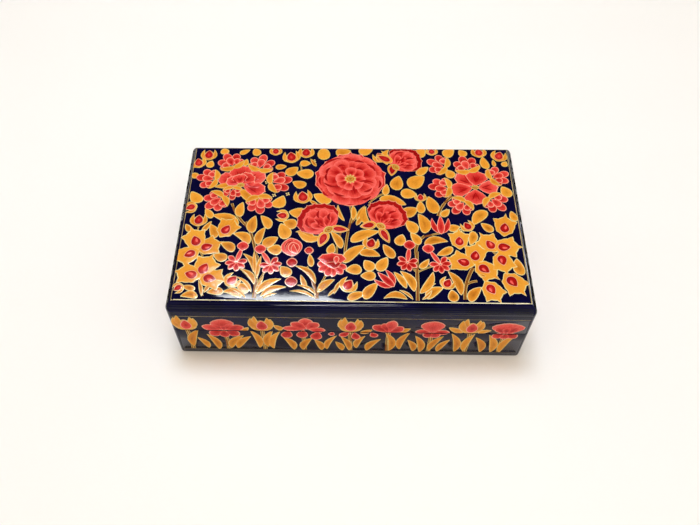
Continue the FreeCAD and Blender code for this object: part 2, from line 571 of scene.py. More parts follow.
@dataclass(frozen=True)
class Canvas:
    """Carries a point of a painted face, in millimetres, onto the lacquer of the box."""

    form: BoxForm
    face: Face

    def onto(self, a: float, b: float, lift: float) -> Vector:
        """Return the place on the box.

        Args:
            a: to the right on the face, from its middle.
            b: up on the face; on the top from the middle, and on a side from the table.
            lift: height over the lacquer.

        Returns:
            The place in metres.
        """
        form = self.form
        if self.face is Face.TOP:
            inset = form.inset_at(a, b)
            lean = min(max(1.0 - inset / form.edge_radius, 0.0), 1.0)
            near_end = form.length / 2 - abs(a) < form.depth / 2 - abs(b)
            out = Vector((math.copysign(near_end, a), math.copysign(not near_end, b), 0))
            normal = out * lean + Vector((0, 0, math.sqrt(1.0 - lean * lean)))
            return (Vector((a, b, form.height - form.lid_drop(inset))) + normal * lift) * MM
        out = lift - self.recess(b)
        half_x, half_y = form.length / 2 + out, form.depth / 2 + out
        place = {
            Face.FRONT: (a, -half_y, b), Face.BACK: (-a, half_y, b),
            Face.LEFT: (-half_x, -a, b), Face.RIGHT: (half_x, a, b)}[self.face]
        return Vector(place) * MM

    def recess(self, height: float) -> float:
        """Return how far a side's rounded rims and edges fall back at a height, in millimetres."""
        form = self.form
        past = max(height - (form.base_top - form.rim_radius), 0.0) if height <= form.base_top else (
            max(form.lid_bottom + form.rim_radius - height, 0.0))
        past = min(past, form.rim_radius)
        return form.rim_radius - math.sqrt(form.rim_radius ** 2 - past ** 2)


@dataclass(frozen=True)
class Outline:
    """The outline of a brush stroke from its base to its tip, in shares of its length and width."""

    belly: float = 1.0
    bluntness: float = 0.8
    teeth: int = 0
    tooth: float = 0.0
    sharpness: float = 1.0
    points: int = 16

    def at(self, number: int) -> Point:
        """Return point number of the outline as shares across and along; the base is number 0."""
        turn = number / self.points
        along = rise(2.0 * math.pi * min(turn, 1.0 - turn)) / 2.0
        side = 0.5 if turn < 0.5 else -0.5
        swell = math.sin(math.pi * min(max(along, 0.0) ** self.belly, 1.0))
        across = side * max(swell, 0.0) ** self.bluntness
        if self.teeth:
            wave = max(math.cos(2.0 * math.pi * self.teeth * (turn - 0.5)), 0.0) ** self.sharpness
            reach = 1.0 + self.tooth * wave * min(1.6 * along, 1.0)
            across, along = across * reach, 0.5 + (along - 0.5) * reach
        return across, along


LEAF = Outline(belly=0.80, bluntness=0.85)
BROAD_LEAF = Outline(belly=0.72, bluntness=0.70)
STRAP = Outline(belly=0.85, bluntness=0.75)
PETAL = Outline(belly=1.45, bluntness=0.62)
ROUND = Outline(belly=1.05, bluntness=0.62)
HEART = Outline(belly=0.75, bluntness=0.72)
TOOTHED = Outline(belly=1.25, bluntness=0.62, teeth=6, tooth=0.36, sharpness=2.2, points=48)
SCALLOPED = Outline(belly=1.0, bluntness=0.62, teeth=14, tooth=0.07, points=56)
BROAD_PETAL = Outline(belly=1.7, bluntness=0.50, points=20)
WAVY_PETAL = Outline(belly=1.5, bluntness=0.55, teeth=9, tooth=0.10, points=36)


class Pigment(Enum):
    """What a stroke is painted in: the piece that it belongs to, and its fill and its outline."""

    LEAF = "leaves"
    PETAL = "petals"
    STEM = "stems"
    LINE = "gold_lines"


PAINTS = {
    Pigment.LEAF: (LEAF_PAINT, GOLD_LINE),
    Pigment.PETAL: (PETAL_PAINT, CREAM_LINE),
    Pigment.STEM: (STEM_PAINT, GOLD_LINE),
    Pigment.LINE: (GOLD_LINE_PAINTED_LIGHT, GOLD_LINE_PAINTED_LIGHT),
}


@dataclass(frozen=True)
class Spot:
    """A place, a turn and a size for a motif whose parts are given in shares of its size."""

    x: float
    y: float
    turn: float = 0.0
    size: float = 1.0

    def at(self, share: Point) -> Point:
        """Return the point on the face of a point given in shares; up in the motif is its turn's way."""
        angle = math.radians(self.turn - 90.0)
        across, along = share[0] * self.size, share[1] * self.size
        return (self.x + across * math.cos(angle) - along * math.sin(angle),
                self.y + across * math.sin(angle) + along * math.cos(angle))


@dataclass
class Relief:
    """How thick the paint lies, in millimetres."""

    level: float = 0.05
    sunk: float = 0.006
    line: float = 0.020
    crown: float = 0.030
    stagger: float = 0.003
    stagger_count: int = 6


class Painter:
    """Lays strokes on the faces of the box and gathers them into pieces, by body and pigment."""

    def __init__(self, form: BoxForm, seed: int) -> None:
        """Start with no paint.

        Args:
            form: the box's sizes.
            seed: the seed of the hand's unevenness.
        """
        self.form = form
        self.canvas = Canvas(form, Face.TOP)
        self.random = random.Random(seed)
        self.relief = Relief()
        self.laid = 0
        self.gathered: dict[tuple[str, Pigment], bmesh.types.BMesh] = {}
        self.cuts = (form.base_top - 0.3, form.lid_bottom + 0.3)
        self.field = ((3.3 - form.length / 2, form.length / 2 - 3.3),
                      (4.3 - form.depth / 2, form.depth / 2 - 2.3))

    def turn_to(self, face: Face) -> None:
        """Paint on another face from now on."""
        self.canvas = Canvas(self.form, face)

    def uneven(self, amount: float) -> float:
        """Return a small number that is different for each stroke."""
        return self.random.uniform(-amount, amount)

    def stroke(self, pigment: Pigment, outline: Outline, base: Point, tip: Point, width: float,
               bend: float = 0.0, level: float = 1.0, shades: Point = (0.5, 0.6), line: float = 0.42,
               rim_shade: float | None = None) -> None:
        """Lay one filled stroke with an outline of its own.

        Args:
            pigment: what it is painted in.
            outline: its form.
            base: where it starts, in millimetres on the face.
            tip: where it ends.
            width: its width in millimetres.
            bend: how far its middle swings to the left of its way, as a share of its length.
            level: the coat that it lies on, counted up from the lacquer.
            shades: the shade of its heart and of its rim, from 0 dark to 1 light.
            line: the width of its outline in millimetres.
            rim_shade: the shade of an outline in the fill's own paint; None for one in the line's paint.
        """
        bm = bmesh.new()
        shade, mark = bm.verts.layers.float.new("shade"), bm.loops.layers.uv.new("stroke")
        made = bmesh.ops.create_circle(bm, segments=outline.points, radius=1.0, cap_ends=True, cap_tris=True)
        heart = next(vert for vert in made["verts"] if len(vert.link_edges) == outline.points)
        rim = [vert for vert in made["verts"] if vert is not heart]
        edges = [edge for edge in bm.edges if edge.is_boundary]
        drawn = bmesh.ops.extrude_edge_only(bm, edges=edges)["geom"]
        outer = ordered_ring(boundary_of(drawn), rim)
        way = Vector((tip[0] - base[0], tip[1] - base[1]))
        length = max(way.length, 0.01)
        way.normalize()
        left = Vector((-way.y, way.x))
        ground = level * self.relief.level + self.relief.stagger * (self.laid % self.relief.stagger_count)
        inner_length = max(length - 2.6 * line, 0.3 * length)
        inner_width = max(width - 2.0 * line, 0.3 * width)
        start = (length - inner_length) * 0.42
        tone = self.uneven(0.09)
        # An outline in the line's paint takes the painted sheen of the lid's top, palest at its front.
        edge_shade = self.painted_outline_sheen(base) if rim_shade is None else rim_shade + tone
        flat: dict[bmesh.types.BMVert, Point] = {}

        def put(vert: bmesh.types.BMVert, across: float, along: float, lift: float, dark: float) -> None:
            """Place one vertex in the stroke's own directions, in millimetres."""
            share = along / length
            swing = 4.0 * bend * length * share * (1.0 - share)
            vert.co = Vector((base[0] + way.x * along + left.x * (across + swing),
                              base[1] + way.y * along + left.y * (across + swing), lift))
            vert[shade] = dark
            flat[vert] = (across, along)

        for number, (inner_vert, outer_vert) in enumerate(zip(rim, outer)):
            across, along = outline.at(number)
            put(inner_vert, across * inner_width, start + along * inner_length,
                ground + self.relief.line, shades[1] + tone)
            put(outer_vert, across * width, along * length, ground - self.relief.sunk,
                edge_shade + self.uneven(0.12))
        put(heart, 0.0, 0.42 * length, ground + self.relief.crown, shades[0] + tone)
        bm.normal_update()
        offset = Vector((self.random.uniform(0.0, 500.0), self.random.uniform(0.0, 500.0)))
        if heart.link_faces[0].normal.z < 0:
            bmesh.ops.reverse_faces(bm, faces=bm.faces)
        for face in bm.faces:
            face.material_index = 0 if rim_shade is not None or heart in face.verts else 1
            face.smooth = True
            for loop in face.loops:
                loop[mark].uv = Vector(flat[loop.vert]) + offset
        self.laid += 1
        self.gather(bm, pigment)

    def painted_outline_sheen(self, place: Point) -> float:
        """Return how light an outline is: on the lid's top a painted sheen makes it palest nearest to the front;
        elsewhere one even shade.
        """
        if self.canvas.face is not Face.TOP:
            return 0.42
        return 0.52 - 0.42 * place[1] / (self.form.depth / 2)

    def ribbon(self, pigment: Pigment, path: Sequence[Point], width: float, level: float = 0.0,
               steps: int = 8, dark: float = 0.5, line: float = 0.28) -> None:
        """Lay a line of paint along a curve with one bend, or along a straight way.

        Args:
            pigment: what it is painted in.
            path: two or three points in millimetres; the middle one pulls the curve.
            width: its width in millimetres.
            level: the coat that it lies on.
            steps: the number of its lengths.
            dark: its shade, from 0 dark to 1 light.
            line: the width of the outline on each side.
        """
        bm = bmesh.new()
        shade, mark = bm.verts.layers.float.new("shade"), bm.loops.layers.uv.new("stroke")
        first, pull, last = (Vector(path[0]), Vector(path[len(path) // 2]), Vector(path[-1]))
        if len(path) == 2:
            pull = (first + last) / 2
        ground = level * self.relief.level + self.relief.stagger * (self.laid % self.relief.stagger_count)
        sides = (-width / 2, -width / 2 + line, width / 2 - line, width / 2)
        lifts = (-self.relief.sunk, self.relief.line, self.relief.line, -self.relief.sunk)
        flat: dict[bmesh.types.BMVert, Point] = {}
        span = (last - first).length
        row: list[bmesh.types.BMVert] = [bm.verts.new() for _ in sides]
        edges = [bm.edges.new(pair) for pair in zip(row, row[1:])]
        for step in range(steps + 1):
            share = step / steps
            if step:
                drawn = bmesh.ops.extrude_edge_only(bm, edges=edges)["geom"]
                fresh = {item for item in drawn if isinstance(item, bmesh.types.BMVert)}
                row = [next(edge.other_vert(vert) for edge in vert.link_edges
                            if edge.other_vert(vert) in fresh) for vert in row]
                edges = [edge for edge in bm.edges if edge.verts[0] in fresh and edge.verts[1] in fresh]
            middle = first * (1 - share) ** 2 + pull * 2 * share * (1 - share) + last * share ** 2
            way = ((pull - first) * (1 - share) + (last - pull) * share).normalized()
            left = Vector((-way.y, way.x))
            swell = 1.0 + self.uneven(0.10)
            for vert, side, lift in zip(row, sides, lifts):
                across = side * swell
                vert.co = Vector((middle.x + left.x * across, middle.y + left.y * across, ground + lift))
                vert[shade] = dark + self.uneven(0.08)
                flat[vert] = (across, share * span)
        offset = Vector((self.random.uniform(0.0, 500.0), self.random.uniform(0.0, 500.0)))
        for face in bm.faces:
            off = sum(abs(flat[vert][0]) for vert in face.verts) / len(face.verts)
            face.material_index = 0 if off < width / 2 - line * 0.6 else 1
            face.smooth = True
            for loop in face.loops:
                loop[mark].uv = Vector(flat[loop.vert]) + offset
        bmesh.ops.recalc_face_normals(bm, faces=bm.faces)
        self.laid += 1
        self.gather(bm, pigment)

    def gather(self, bm: bmesh.types.BMesh, pigment: Pigment) -> None:
        """Cut a flat stroke where the box is open or bends, lay it on the box and add it to its pieces.

        Args:
            bm: the stroke, flat, in millimetres; it is used up.
            pigment: what it is painted in.
        """
        if self.canvas.face is Face.TOP:
            for axis, (least, most) in enumerate(self.field):
                self.trim(bm, axis, least, False)
                self.trim(bm, axis, most, True)
            for axis, half in enumerate((self.form.length / 2, self.form.depth / 2)):
                bends = (6.0, 5.1, 4.2, 3.3)
                self.score(bm, axis, [sign * (half - inset) for inset in bends for sign in (-1, 1)])
            self.add(bm, "lid", pigment)
            return
        low, high = self.cuts
        heights = [vert.co.y for vert in bm.verts]
        rims = (self.form.base_top - self.form.rim_radius, self.form.lid_bottom + self.form.rim_radius)
        if max(heights) > high:
            upper = bm.copy() if min(heights) < low else bm
            self.trim(upper, 1, high, False)
            self.score(upper, 1, [rims[1]])
            self.add(upper, "lid", pigment)
            if upper is bm:
                return
        self.trim(bm, 1, low, True)
        self.score(bm, 1, [rims[0]])
        self.add(bm, "base", pigment)

    @staticmethod
    def trim(bm: bmesh.types.BMesh, axis: int, place: float, beyond: bool) -> None:
        """Cut off what lies beyond a place along an axis, or before it."""
        spans = [vert.co[axis] for vert in bm.verts]
        if spans and (max(spans) > place if beyond else min(spans) < place):
            normal = (1, 0, 0) if axis == 0 else (0, 1, 0)
            bmesh.ops.bisect_plane(bm, geom=bm.verts[:] + bm.edges[:] + bm.faces[:],
                                   plane_co=[place * part for part in normal], plane_no=normal,
                                   clear_outer=beyond, clear_inner=not beyond)

    @staticmethod
    def score(bm: bmesh.types.BMesh, axis: int, places: Iterable[float]) -> None:
        """Add edges across a stroke at these places along an axis, so that it can bend there."""
        for place in places:
            spans = [vert.co[axis] for vert in bm.verts]
            if spans and min(spans) < place < max(spans):
                normal = (1, 0, 0) if axis == 0 else (0, 1, 0)
                bmesh.ops.bisect_plane(bm, geom=bm.verts[:] + bm.edges[:] + bm.faces[:],
                                       plane_co=[place * part for part in normal], plane_no=normal)

    def add(self, bm: bmesh.types.BMesh, body: str, pigment: Pigment) -> None:
        """Carry a flat stroke onto the box and add it to the piece of its body and pigment."""
        if not bm.faces:
            bm.free()
            return
        for vert in bm.verts:
            vert.co = self.canvas.onto(*vert.co)
        mesh = bpy.data.meshes.new("stroke")
        bm.to_mesh(mesh)
        bm.free()
        key = (body, pigment)
        if key not in self.gathered:
            self.gathered[key] = bmesh.new()
        self.gathered[key].from_mesh(mesh)
        bpy.data.meshes.remove(mesh)

    def pieces(self) -> list[bpy.types.Object]:
        """Make the pieces of paint that were gathered, each with its fill and its outline."""
        dressed = {paint.name: paint.material() for pair in PAINTS.values() for paint in pair}
        made = []
        for (body, pigment), bm in self.gathered.items():
            materials = [dressed[paint.name] for paint in PAINTS[pigment]]
            made.append(finish_mesh(f"{body}_{pigment.value}", bm, materials, body))
        return made


# Motifs, in shares of their size; up is the way that a flower opens

# Petals of the great rose inside its outer ones: base, tip, width, in millimetres from its heart
ROSE_PETALS = (
    (-3, -1, -16.2, -1.6, 11), (-3, 2, -14.4, 8.6, 10), (-2, 3, -7, 15, 10.4), (0, 3, 2.4, 15, 9.4),
    (2, 3, 10.2, 12.4, 10), (3, 2, 15.6, 5.6, 10), (3, -1, 15.8, -3.4, 9.4), (3, -2, 12, -11, 10.4),
    (1, -3, 3.6, -15, 9.8), (0, -3, -5, -14.6, 10), (-2, -3, -13, -9.6, 11), (-1, 0, -9, 1, 7.4),
    (-1, 1, -6.6, 7.6, 7.4), (0, 1, 0.8, 9.4, 7.6), (1, 1, 7.6, 6.4, 7), (1, 0, 9.2, -0.8, 6.4),
    (1, -1, 6.2, -7, 6.8), (0, -1, -1.4, -8.8, 6.8), (-1, -1, -7.4, -5.4, 7),
)
# Dark folds of the great rose: start, end, and how far the middle swings out
ROSE_FOLDS = (
    (-17, 10, -5, 17, 0.12), (-4.4, 16.2, 0.6, 15.4, 0.1), (2.4, 14.2, 8.4, 13, 0.12),
    (10, 12, 15, 6, 0.14), (5, -2, 14, -3, 0.10), (2, -5, 3, -12, -0.06), (8, -10, 13, -7, -0.12),
    (-16, -3, -6, -6, -0.14), (-14.4, 4, -13.6, -2, -0.14), (-12, 9, -14, 3, -0.2),
    (-10, -10.6, -3, -13.4, -0.12), (-7.8, 9.6, -2.8, 10.4, 0.2), (3.6, 8.6, 7.6, 7, 0.18),
    (-16.4, -9.6, -12.6, -13.6, -0.14), (6.6, -16.2, 12.4, -13.2, -0.12), (17.4, -1, 16.6, -7.4, 0.14),
    (-18, 1.4, -17.4, -5, -0.12),
)
# Curled petals of a rose that is seen from its side: base, tip, width, in shares of its size
HALF_ROSE_PETALS = (
    (-0.06, -0.26, -0.40, 0.06, 0.28), (-0.04, -0.20, -0.26, 0.28, 0.27),
    (0.0, -0.18, -0.02, 0.37, 0.30), (0.04, -0.20, 0.24, 0.27, 0.27), (0.06, -0.26, 0.40, 0.04, 0.26),
    (-0.04, -0.26, -0.22, 0.06, 0.20), (0.0, -0.22, 0.0, 0.17, 0.22), (0.05, -0.24, 0.22, 0.04, 0.20),
    (0.0, -0.26, -0.08, 0.00, 0.13), (0.04, -0.26, 0.12, 0.00, 0.12),
)
# Petals of the two wild roses, from the back to the front: tip and width, in millimetres from the eye
RIGHT_WILD_ROSE = (
    (-10, 10.6, 9.6), (13.6, 0.4, 10.4), (-14.6, -2.6, 10.4), (2.6, 12.8, 12.6), (-0.4, -12.8, 13.6),
)
LEFT_WILD_ROSE = (
    (-13.4, 7.4, 10.6), (-1.4, 15.8, 13.6), (13.8, 10, 11), (14.8, -4.8, 10.4), (8.8, 1.2, 8.4),
    (5.6, 9.4, 10), (-8.4, 5.2, 8), (-1.8, 8.6, 9.4),
)


@dataclass
class Motifs:
    """The flowers, buds and leaves of the box, each painted as a few strokes."""

    painter: Painter

    def leaf(self, base: Point, tip: Point, width: float, bend: float = 0.0, level: float = 1.0,
             outline: Outline = BROAD_LEAF) -> None:
        """Paint a gold leaf with a heart that is darker near the lid's front."""
        heart = 0.40 + 0.003 * base[1] + self.painter.uneven(0.12)
        self.painter.stroke(Pigment.LEAF, outline, base, tip, width, bend, level, (heart, 0.74))

    def strap(self, base: Point, tip: Point, width: float, bend: float = 0.0, level: float = 1.2) -> None:
        """Paint a long narrow leaf."""
        self.painter.stroke(Pigment.LEAF, STRAP, base, tip, width, bend, level,
                            (0.36 + self.painter.uneven(0.12), 0.66), line=0.46)

    def petal(self, spot: Spot, base: Point, tip: Point, width: float, level: float, bend: float = 0.0,
              shades: Point = (0.36, 0.78), outline: Outline = PETAL, line: float = 0.34,
              rim_shade: float | None = None) -> None:
        """Paint one petal of a motif, its places and width in shares of the motif's size."""
        self.painter.stroke(Pigment.PETAL, outline, spot.at(base), spot.at(tip), width * spot.size, bend,
                            level, shades, line, rim_shade)

    def gold(self, spot: Spot, base: Point, tip: Point, width: float, level: float, bend: float = 0.0,
             shades: Point = (0.5, 0.7), outline: Outline = STRAP, line: float = 0.42) -> None:
        """Paint one gold part of a motif, its places and width in shares of the motif's size."""
        self.painter.stroke(Pigment.LEAF, outline, spot.at(base), spot.at(tip), width * spot.size, bend,
                            level, shades, line)

    def eye(self, spot: Spot, centre: Point, width: float, height: float, level: float) -> None:
        """Paint an orange eye in a gold ring."""
        low, high = (centre[0], centre[1] - height / 2), (centre[0], centre[1] + height / 2)
        self.gold(spot, low, high, width, level, shades=(0.24, 0.40), outline=ROUND, line=0.6)
        inner = 0.42
        low = (centre[0], centre[1] - height * inner / 2)
        high = (centre[0], centre[1] + height * inner / 2)
        self.gold(spot, low, high, width * inner, level + 0.8, shades=(0.10, 0.30), outline=ROUND, line=0.25)

    def bud(self, spot: Spot) -> None:
        """Paint a red bud in a gold cup."""
        for side in (-1, 1):
            self.gold(spot, (0.05 * side, -0.50), (0.36 * side, 0.54), 0.38, 2.0, bend=-0.22 * side)
        self.gold(spot, (0, -0.54), (0, 0.46), 0.90, 2.2, outline=HEART, shades=(0.5, 0.75))
        self.petal(spot, (0, -0.38), (0, 0.46), 0.64, 3.2, outline=HEART, shades=(0.60, 0.20))

    def iris(self, spot: Spot) -> None:
        """Paint one toothed gold lobe of an iris with its red heart."""
        self.gold(spot, (0, -0.50), (0, 0.56), 0.86, 2.0, outline=TOOTHED, shades=(0.55, 0.72))
        self.petal(spot, (0, -0.30), (0, 0.24), 0.42, 3.0, outline=HEART, shades=(0.56, 0.16))
        self.petal(spot, (0.04, -0.12), (0.05, 0.10), 0.10, 3.9, outline=HEART, shades=(0.95, 0.9), line=0.1,
                   rim_shade=0.7)

    def cluster(self, spot: Spot) -> None:
        """Paint a pink flower of many small petals that opens out of a gold crescent."""
        for angle, reach, width in ((-78, 0.60, 0.36), (78, 0.60, 0.36), (-40, 0.78, 0.40), (38, 0.80, 0.40),
                                    (0, 0.90, 0.42)):
            turn = math.radians(angle + self.painter.uneven(5.0))
            self.petal(spot, (0.16 * math.sin(turn), 0.08), (reach * math.sin(turn), reach * math.cos(turn)),
                       width, 2.0, shades=(0.26, 0.66), outline=BROAD_PETAL)
        for angle, reach, width in ((-52, 0.52, 0.32), (48, 0.52, 0.32), (-4, 0.60, 0.38)):
            turn = math.radians(angle + self.painter.uneven(6.0))
            self.petal(spot, (0.20 * math.sin(turn), 0.02), (reach * math.sin(turn), reach * math.cos(turn)),
                       width, 3.0, shades=(0.36, 0.78), outline=BROAD_PETAL)
        for side in (-1, 1):
            self.gold(spot, (-0.05 * side, -0.08), (0.60 * side, 0.14), 0.30, 4.0, bend=-0.13 * side,
                      outline=BROAD_LEAF)

    def wild_rose(self, spot: Spot, petals: tuple) -> None:
        """Paint an open rose of broad separate petals, each streaked, round an orange eye.

        Args:
            spot: the place of its eye; its size is 1, for places in millimetres.
            petals: across and up of each tip from the eye, and the width, from the back to the front.
        """
        for number, (x, y, width) in enumerate(petals):
            level = 2.0 + 0.25 * number
            self.petal(spot, (0.10 * x, 0.10 * y), (x, y), width, level, shades=(0.34, 0.80),
                       outline=WAVY_PETAL)
            for side in (-0.16, 0.16):
                self.petal(spot, (0.30 * x, 0.30 * y), (0.74 * x - side * y, 0.74 * y + side * x), 0.9,
                           level + 0.7, shades=(0.12, 0.30), line=0.2, outline=STRAP, rim_shade=0.42)
        self.eye(spot, (0, 0), 4.8, 3.6, 5.4)

    def great_rose(self, spot: Spot) -> None:
        """Paint the large open rose of the middle: petals inside one another, folds and a gold heart."""
        self.petal(spot, (0, -21), (0, 21), 42, 2.6, outline=SCALLOPED, shades=(0.30, 0.62), line=0.45)
        for turn in (4, 36, 66, 98, 131, 163, 198, 229, 262, 296, 331):
            way = (math.sin(math.radians(turn)), math.cos(math.radians(turn)))
            reach = 20.4 + self.painter.uneven(0.4)
            self.petal(spot, (9.0 * way[0], 9.0 * way[1]), (reach * way[0], reach * way[1]), 12.6, 3.1,
                       shades=(0.30, 0.84), outline=BROAD_PETAL, line=0.9, rim_shade=0.96)
        for number, (x, y, far_x, far_y, width) in enumerate(ROSE_PETALS):
            level = 3.8 if math.hypot(far_x, far_y) > 10 else 4.6
            self.petal(spot, (x, y), (far_x, far_y), width, level + 0.08 * (number % 3), shades=(0.24, 0.82),
                       outline=BROAD_PETAL, line=0.7, rim_shade=0.97)
        for x, y, far_x, far_y, bend in ROSE_FOLDS:
            self.petal(spot, (x, y), (far_x, far_y), 1.7, 5.5, bend=bend, shades=(0.10, 0.24), line=0.5,
                       outline=STRAP, rim_shade=0.46)
        self.eye(spot, (0, 0), 6.4, 5.6, 6.0)
        for number in range(10):
            turn = 2.0 * math.pi * number / 10
            way = (math.sin(turn), math.cos(turn))
            self.gold(spot, (2.3 * way[0], 2.3 * way[1]), (3.7 * way[0], 3.7 * way[1]), 1.0, 6.8,
                      shades=(0.6, 0.9), outline=ROUND, line=0.2)

    def half_rose(self, spot: Spot) -> None:
        """Paint a rose that is seen from its side: a dark frilled rim, curled petals, and an eye below."""
        self.gold(spot, (-0.20, -0.42), (-0.58, 0.06), 0.22, 2.0, bend=0.22, outline=STRAP)
        self.petal(spot, (0, -0.36), (0, 0.54), 1.04, 3.0, outline=SCALLOPED, shades=(0.08, 0.20))
        self.petal(spot, (0.01, -0.40), (0.0, 0.40), 0.86, 3.7, outline=SCALLOPED, shades=(0.34, 0.78),
                   line=0.5, rim_shade=0.92)
        for number, (x, y, far_x, far_y, width) in enumerate(HALF_ROSE_PETALS):
            self.petal(spot, (x, y), (far_x, far_y), width, 4.3 + 0.12 * number, shades=(0.22, 0.80),
                       outline=BROAD_PETAL, line=0.55, rim_shade=0.98)
        for x, y, far_x, far_y, bend in ((-0.30, -0.04, -0.18, 0.24, 0.2), (0.02, 0.08, 0.16, 0.27, 0.15),
                                         (0.20, -0.12, 0.33, 0.06, 0.2), (-0.10, -0.10, -0.08, 0.12, -0.2)):
            self.petal(spot, (x, y), (far_x, far_y), 0.07, 5.8, bend=bend, shades=(0.10, 0.24), line=0.4,
                       outline=STRAP, rim_shade=0.44)
        self.eye(spot, (0.02, -0.32), 0.26, 0.20, 6.2)

    def sepal_petal(self, base: Point, tip: Point, width: float) -> None:
        """Paint a crimson petal that falls below a rose, in a gold edge."""
        self.painter.stroke(Pigment.LEAF, HEART, base, tip, width, 0.0, 4.4, (0.5, 0.7), 0.3)
        shares = (0.14, 0.88)
        near, far = [(base[0] + (tip[0] - base[0]) * share, base[1] + (tip[1] - base[1]) * share)
                     for share in shares]
        self.painter.stroke(Pigment.PETAL, HEART, near, far, width * 0.66, 0.0, 5.4, (0.50, 0.22), 0.3)

    def lily(self, spot: Spot, bud: Point) -> None:
        """Paint a star of narrow pink petals with a trumpet that leads to a round bud."""
        for angle in (-112, -62, 160, 205, 66, 114):
            turn = math.radians(angle)
            self.petal(spot, (0.02 * math.sin(turn), 0.02 * math.cos(turn)),
                       (0.56 * math.sin(turn), 0.56 * math.cos(turn)), 0.31, 3.0, shades=(0.20, 0.66),
                       outline=PETAL)
        centre, start = (spot.x, spot.y), bud
        self.painter.stroke(Pigment.PETAL, PETAL, start, centre, 0.27 * spot.size, 0.0, 3.8,
                            (0.58, 0.80), 0.36)
        self.painter.stroke(Pigment.PETAL, ROUND, (bud[0], bud[1] - 3.3), (bud[0], bud[1] + 3.3), 6.8,
                            0.0, 4.6, (0.30, 0.62), 0.40)

    def tulip(self, spot: Spot) -> None:
        """Paint a spiky pink flower of three petals."""
        for side in (-1, 1):
            self.petal(spot, (0.02 * side, -0.45), (0.36 * side, 0.40), 0.28, 2.4, bend=-0.12 * side,
                       outline=HEART, shades=(0.4, 0.70))
        self.petal(spot, (0, -0.5), (0.02, 0.52), 0.34, 3.2, outline=HEART, shades=(0.26, 0.66))

    def round_rose(self, spot: Spot) -> None:
        """Paint a tight round pink rose with curled shadows."""
        self.petal(spot, (0, -0.5), (0, 0.5), 0.96, 2.4, outline=ROUND, shades=(0.55, 0.78))
        self.petal(spot, (0.12, -0.36), (0.05, 0.26), 0.52, 3.2, outline=ROUND, shades=(0.22, 0.62))
        self.petal(spot, (0.20, -0.40), (0.10, 0.16), 0.24, 4.0, bend=0.16, outline=STRAP, shades=(0.7, 0.8),
                   line=0.3)
        self.petal(spot, (-0.30, -0.16), (0.16, 0.36), 0.10, 4.0, bend=0.24, outline=STRAP,
                   shades=(0.2, 0.3), line=0.2)

    def red_round(self, spot: Spot) -> None:
        """Paint a plain round red flower in a cream edge."""
        self.petal(spot, (0, -0.5), (0, 0.5), 0.98, 2.4, outline=ROUND, shades=(0.48, 0.24), line=0.5)

    def carnation(self, spot: Spot) -> None:
        """Paint a low bowl of frilled petals over five smaller ones."""
        for angle, reach, width in ((-95, 0.52, 0.30), (-125, 0.56, 0.28), (-158, 0.56, 0.28),
                                    (178, 0.54, 0.28), (142, 0.55, 0.28), (112, 0.52, 0.26)):
            turn = math.radians(angle)
            self.petal(spot, (0.1 * math.sin(turn), 0.1 * math.cos(turn)),
                       (reach * math.sin(turn), reach * math.cos(turn)), width, 2.4, shades=(0.30, 0.76))
        self.petal(spot, (-0.02, -0.16), (-0.02, 0.42), 0.90, 3.4, outline=WAVY_PETAL, shades=(0.20, 0.78))
        self.petal(spot, (-0.22, -0.02), (0.28, 0.02), 0.28, 4.2, bend=-0.15, outline=ROUND,
                   shades=(0.12, 0.3), line=0.3)
        self.petal(spot, (0.10, -0.04), (0.14, 0.30), 0.20, 4.9, outline=PETAL, shades=(0.6, 0.85), line=0.3)

    def blossom(self, spot: Spot) -> None:
        """Paint a tiny pale gold blossom of four dots."""
        for angle in (45, 135, 225, 315):
            turn = math.radians(angle)
            self.gold(spot, (0.1 * math.sin(turn), 0.1 * math.cos(turn)),
                      (0.5 * math.sin(turn), 0.5 * math.cos(turn)), 0.34, 1.4, shades=(0.7, 1.0),
                      outline=ROUND, line=0.3)
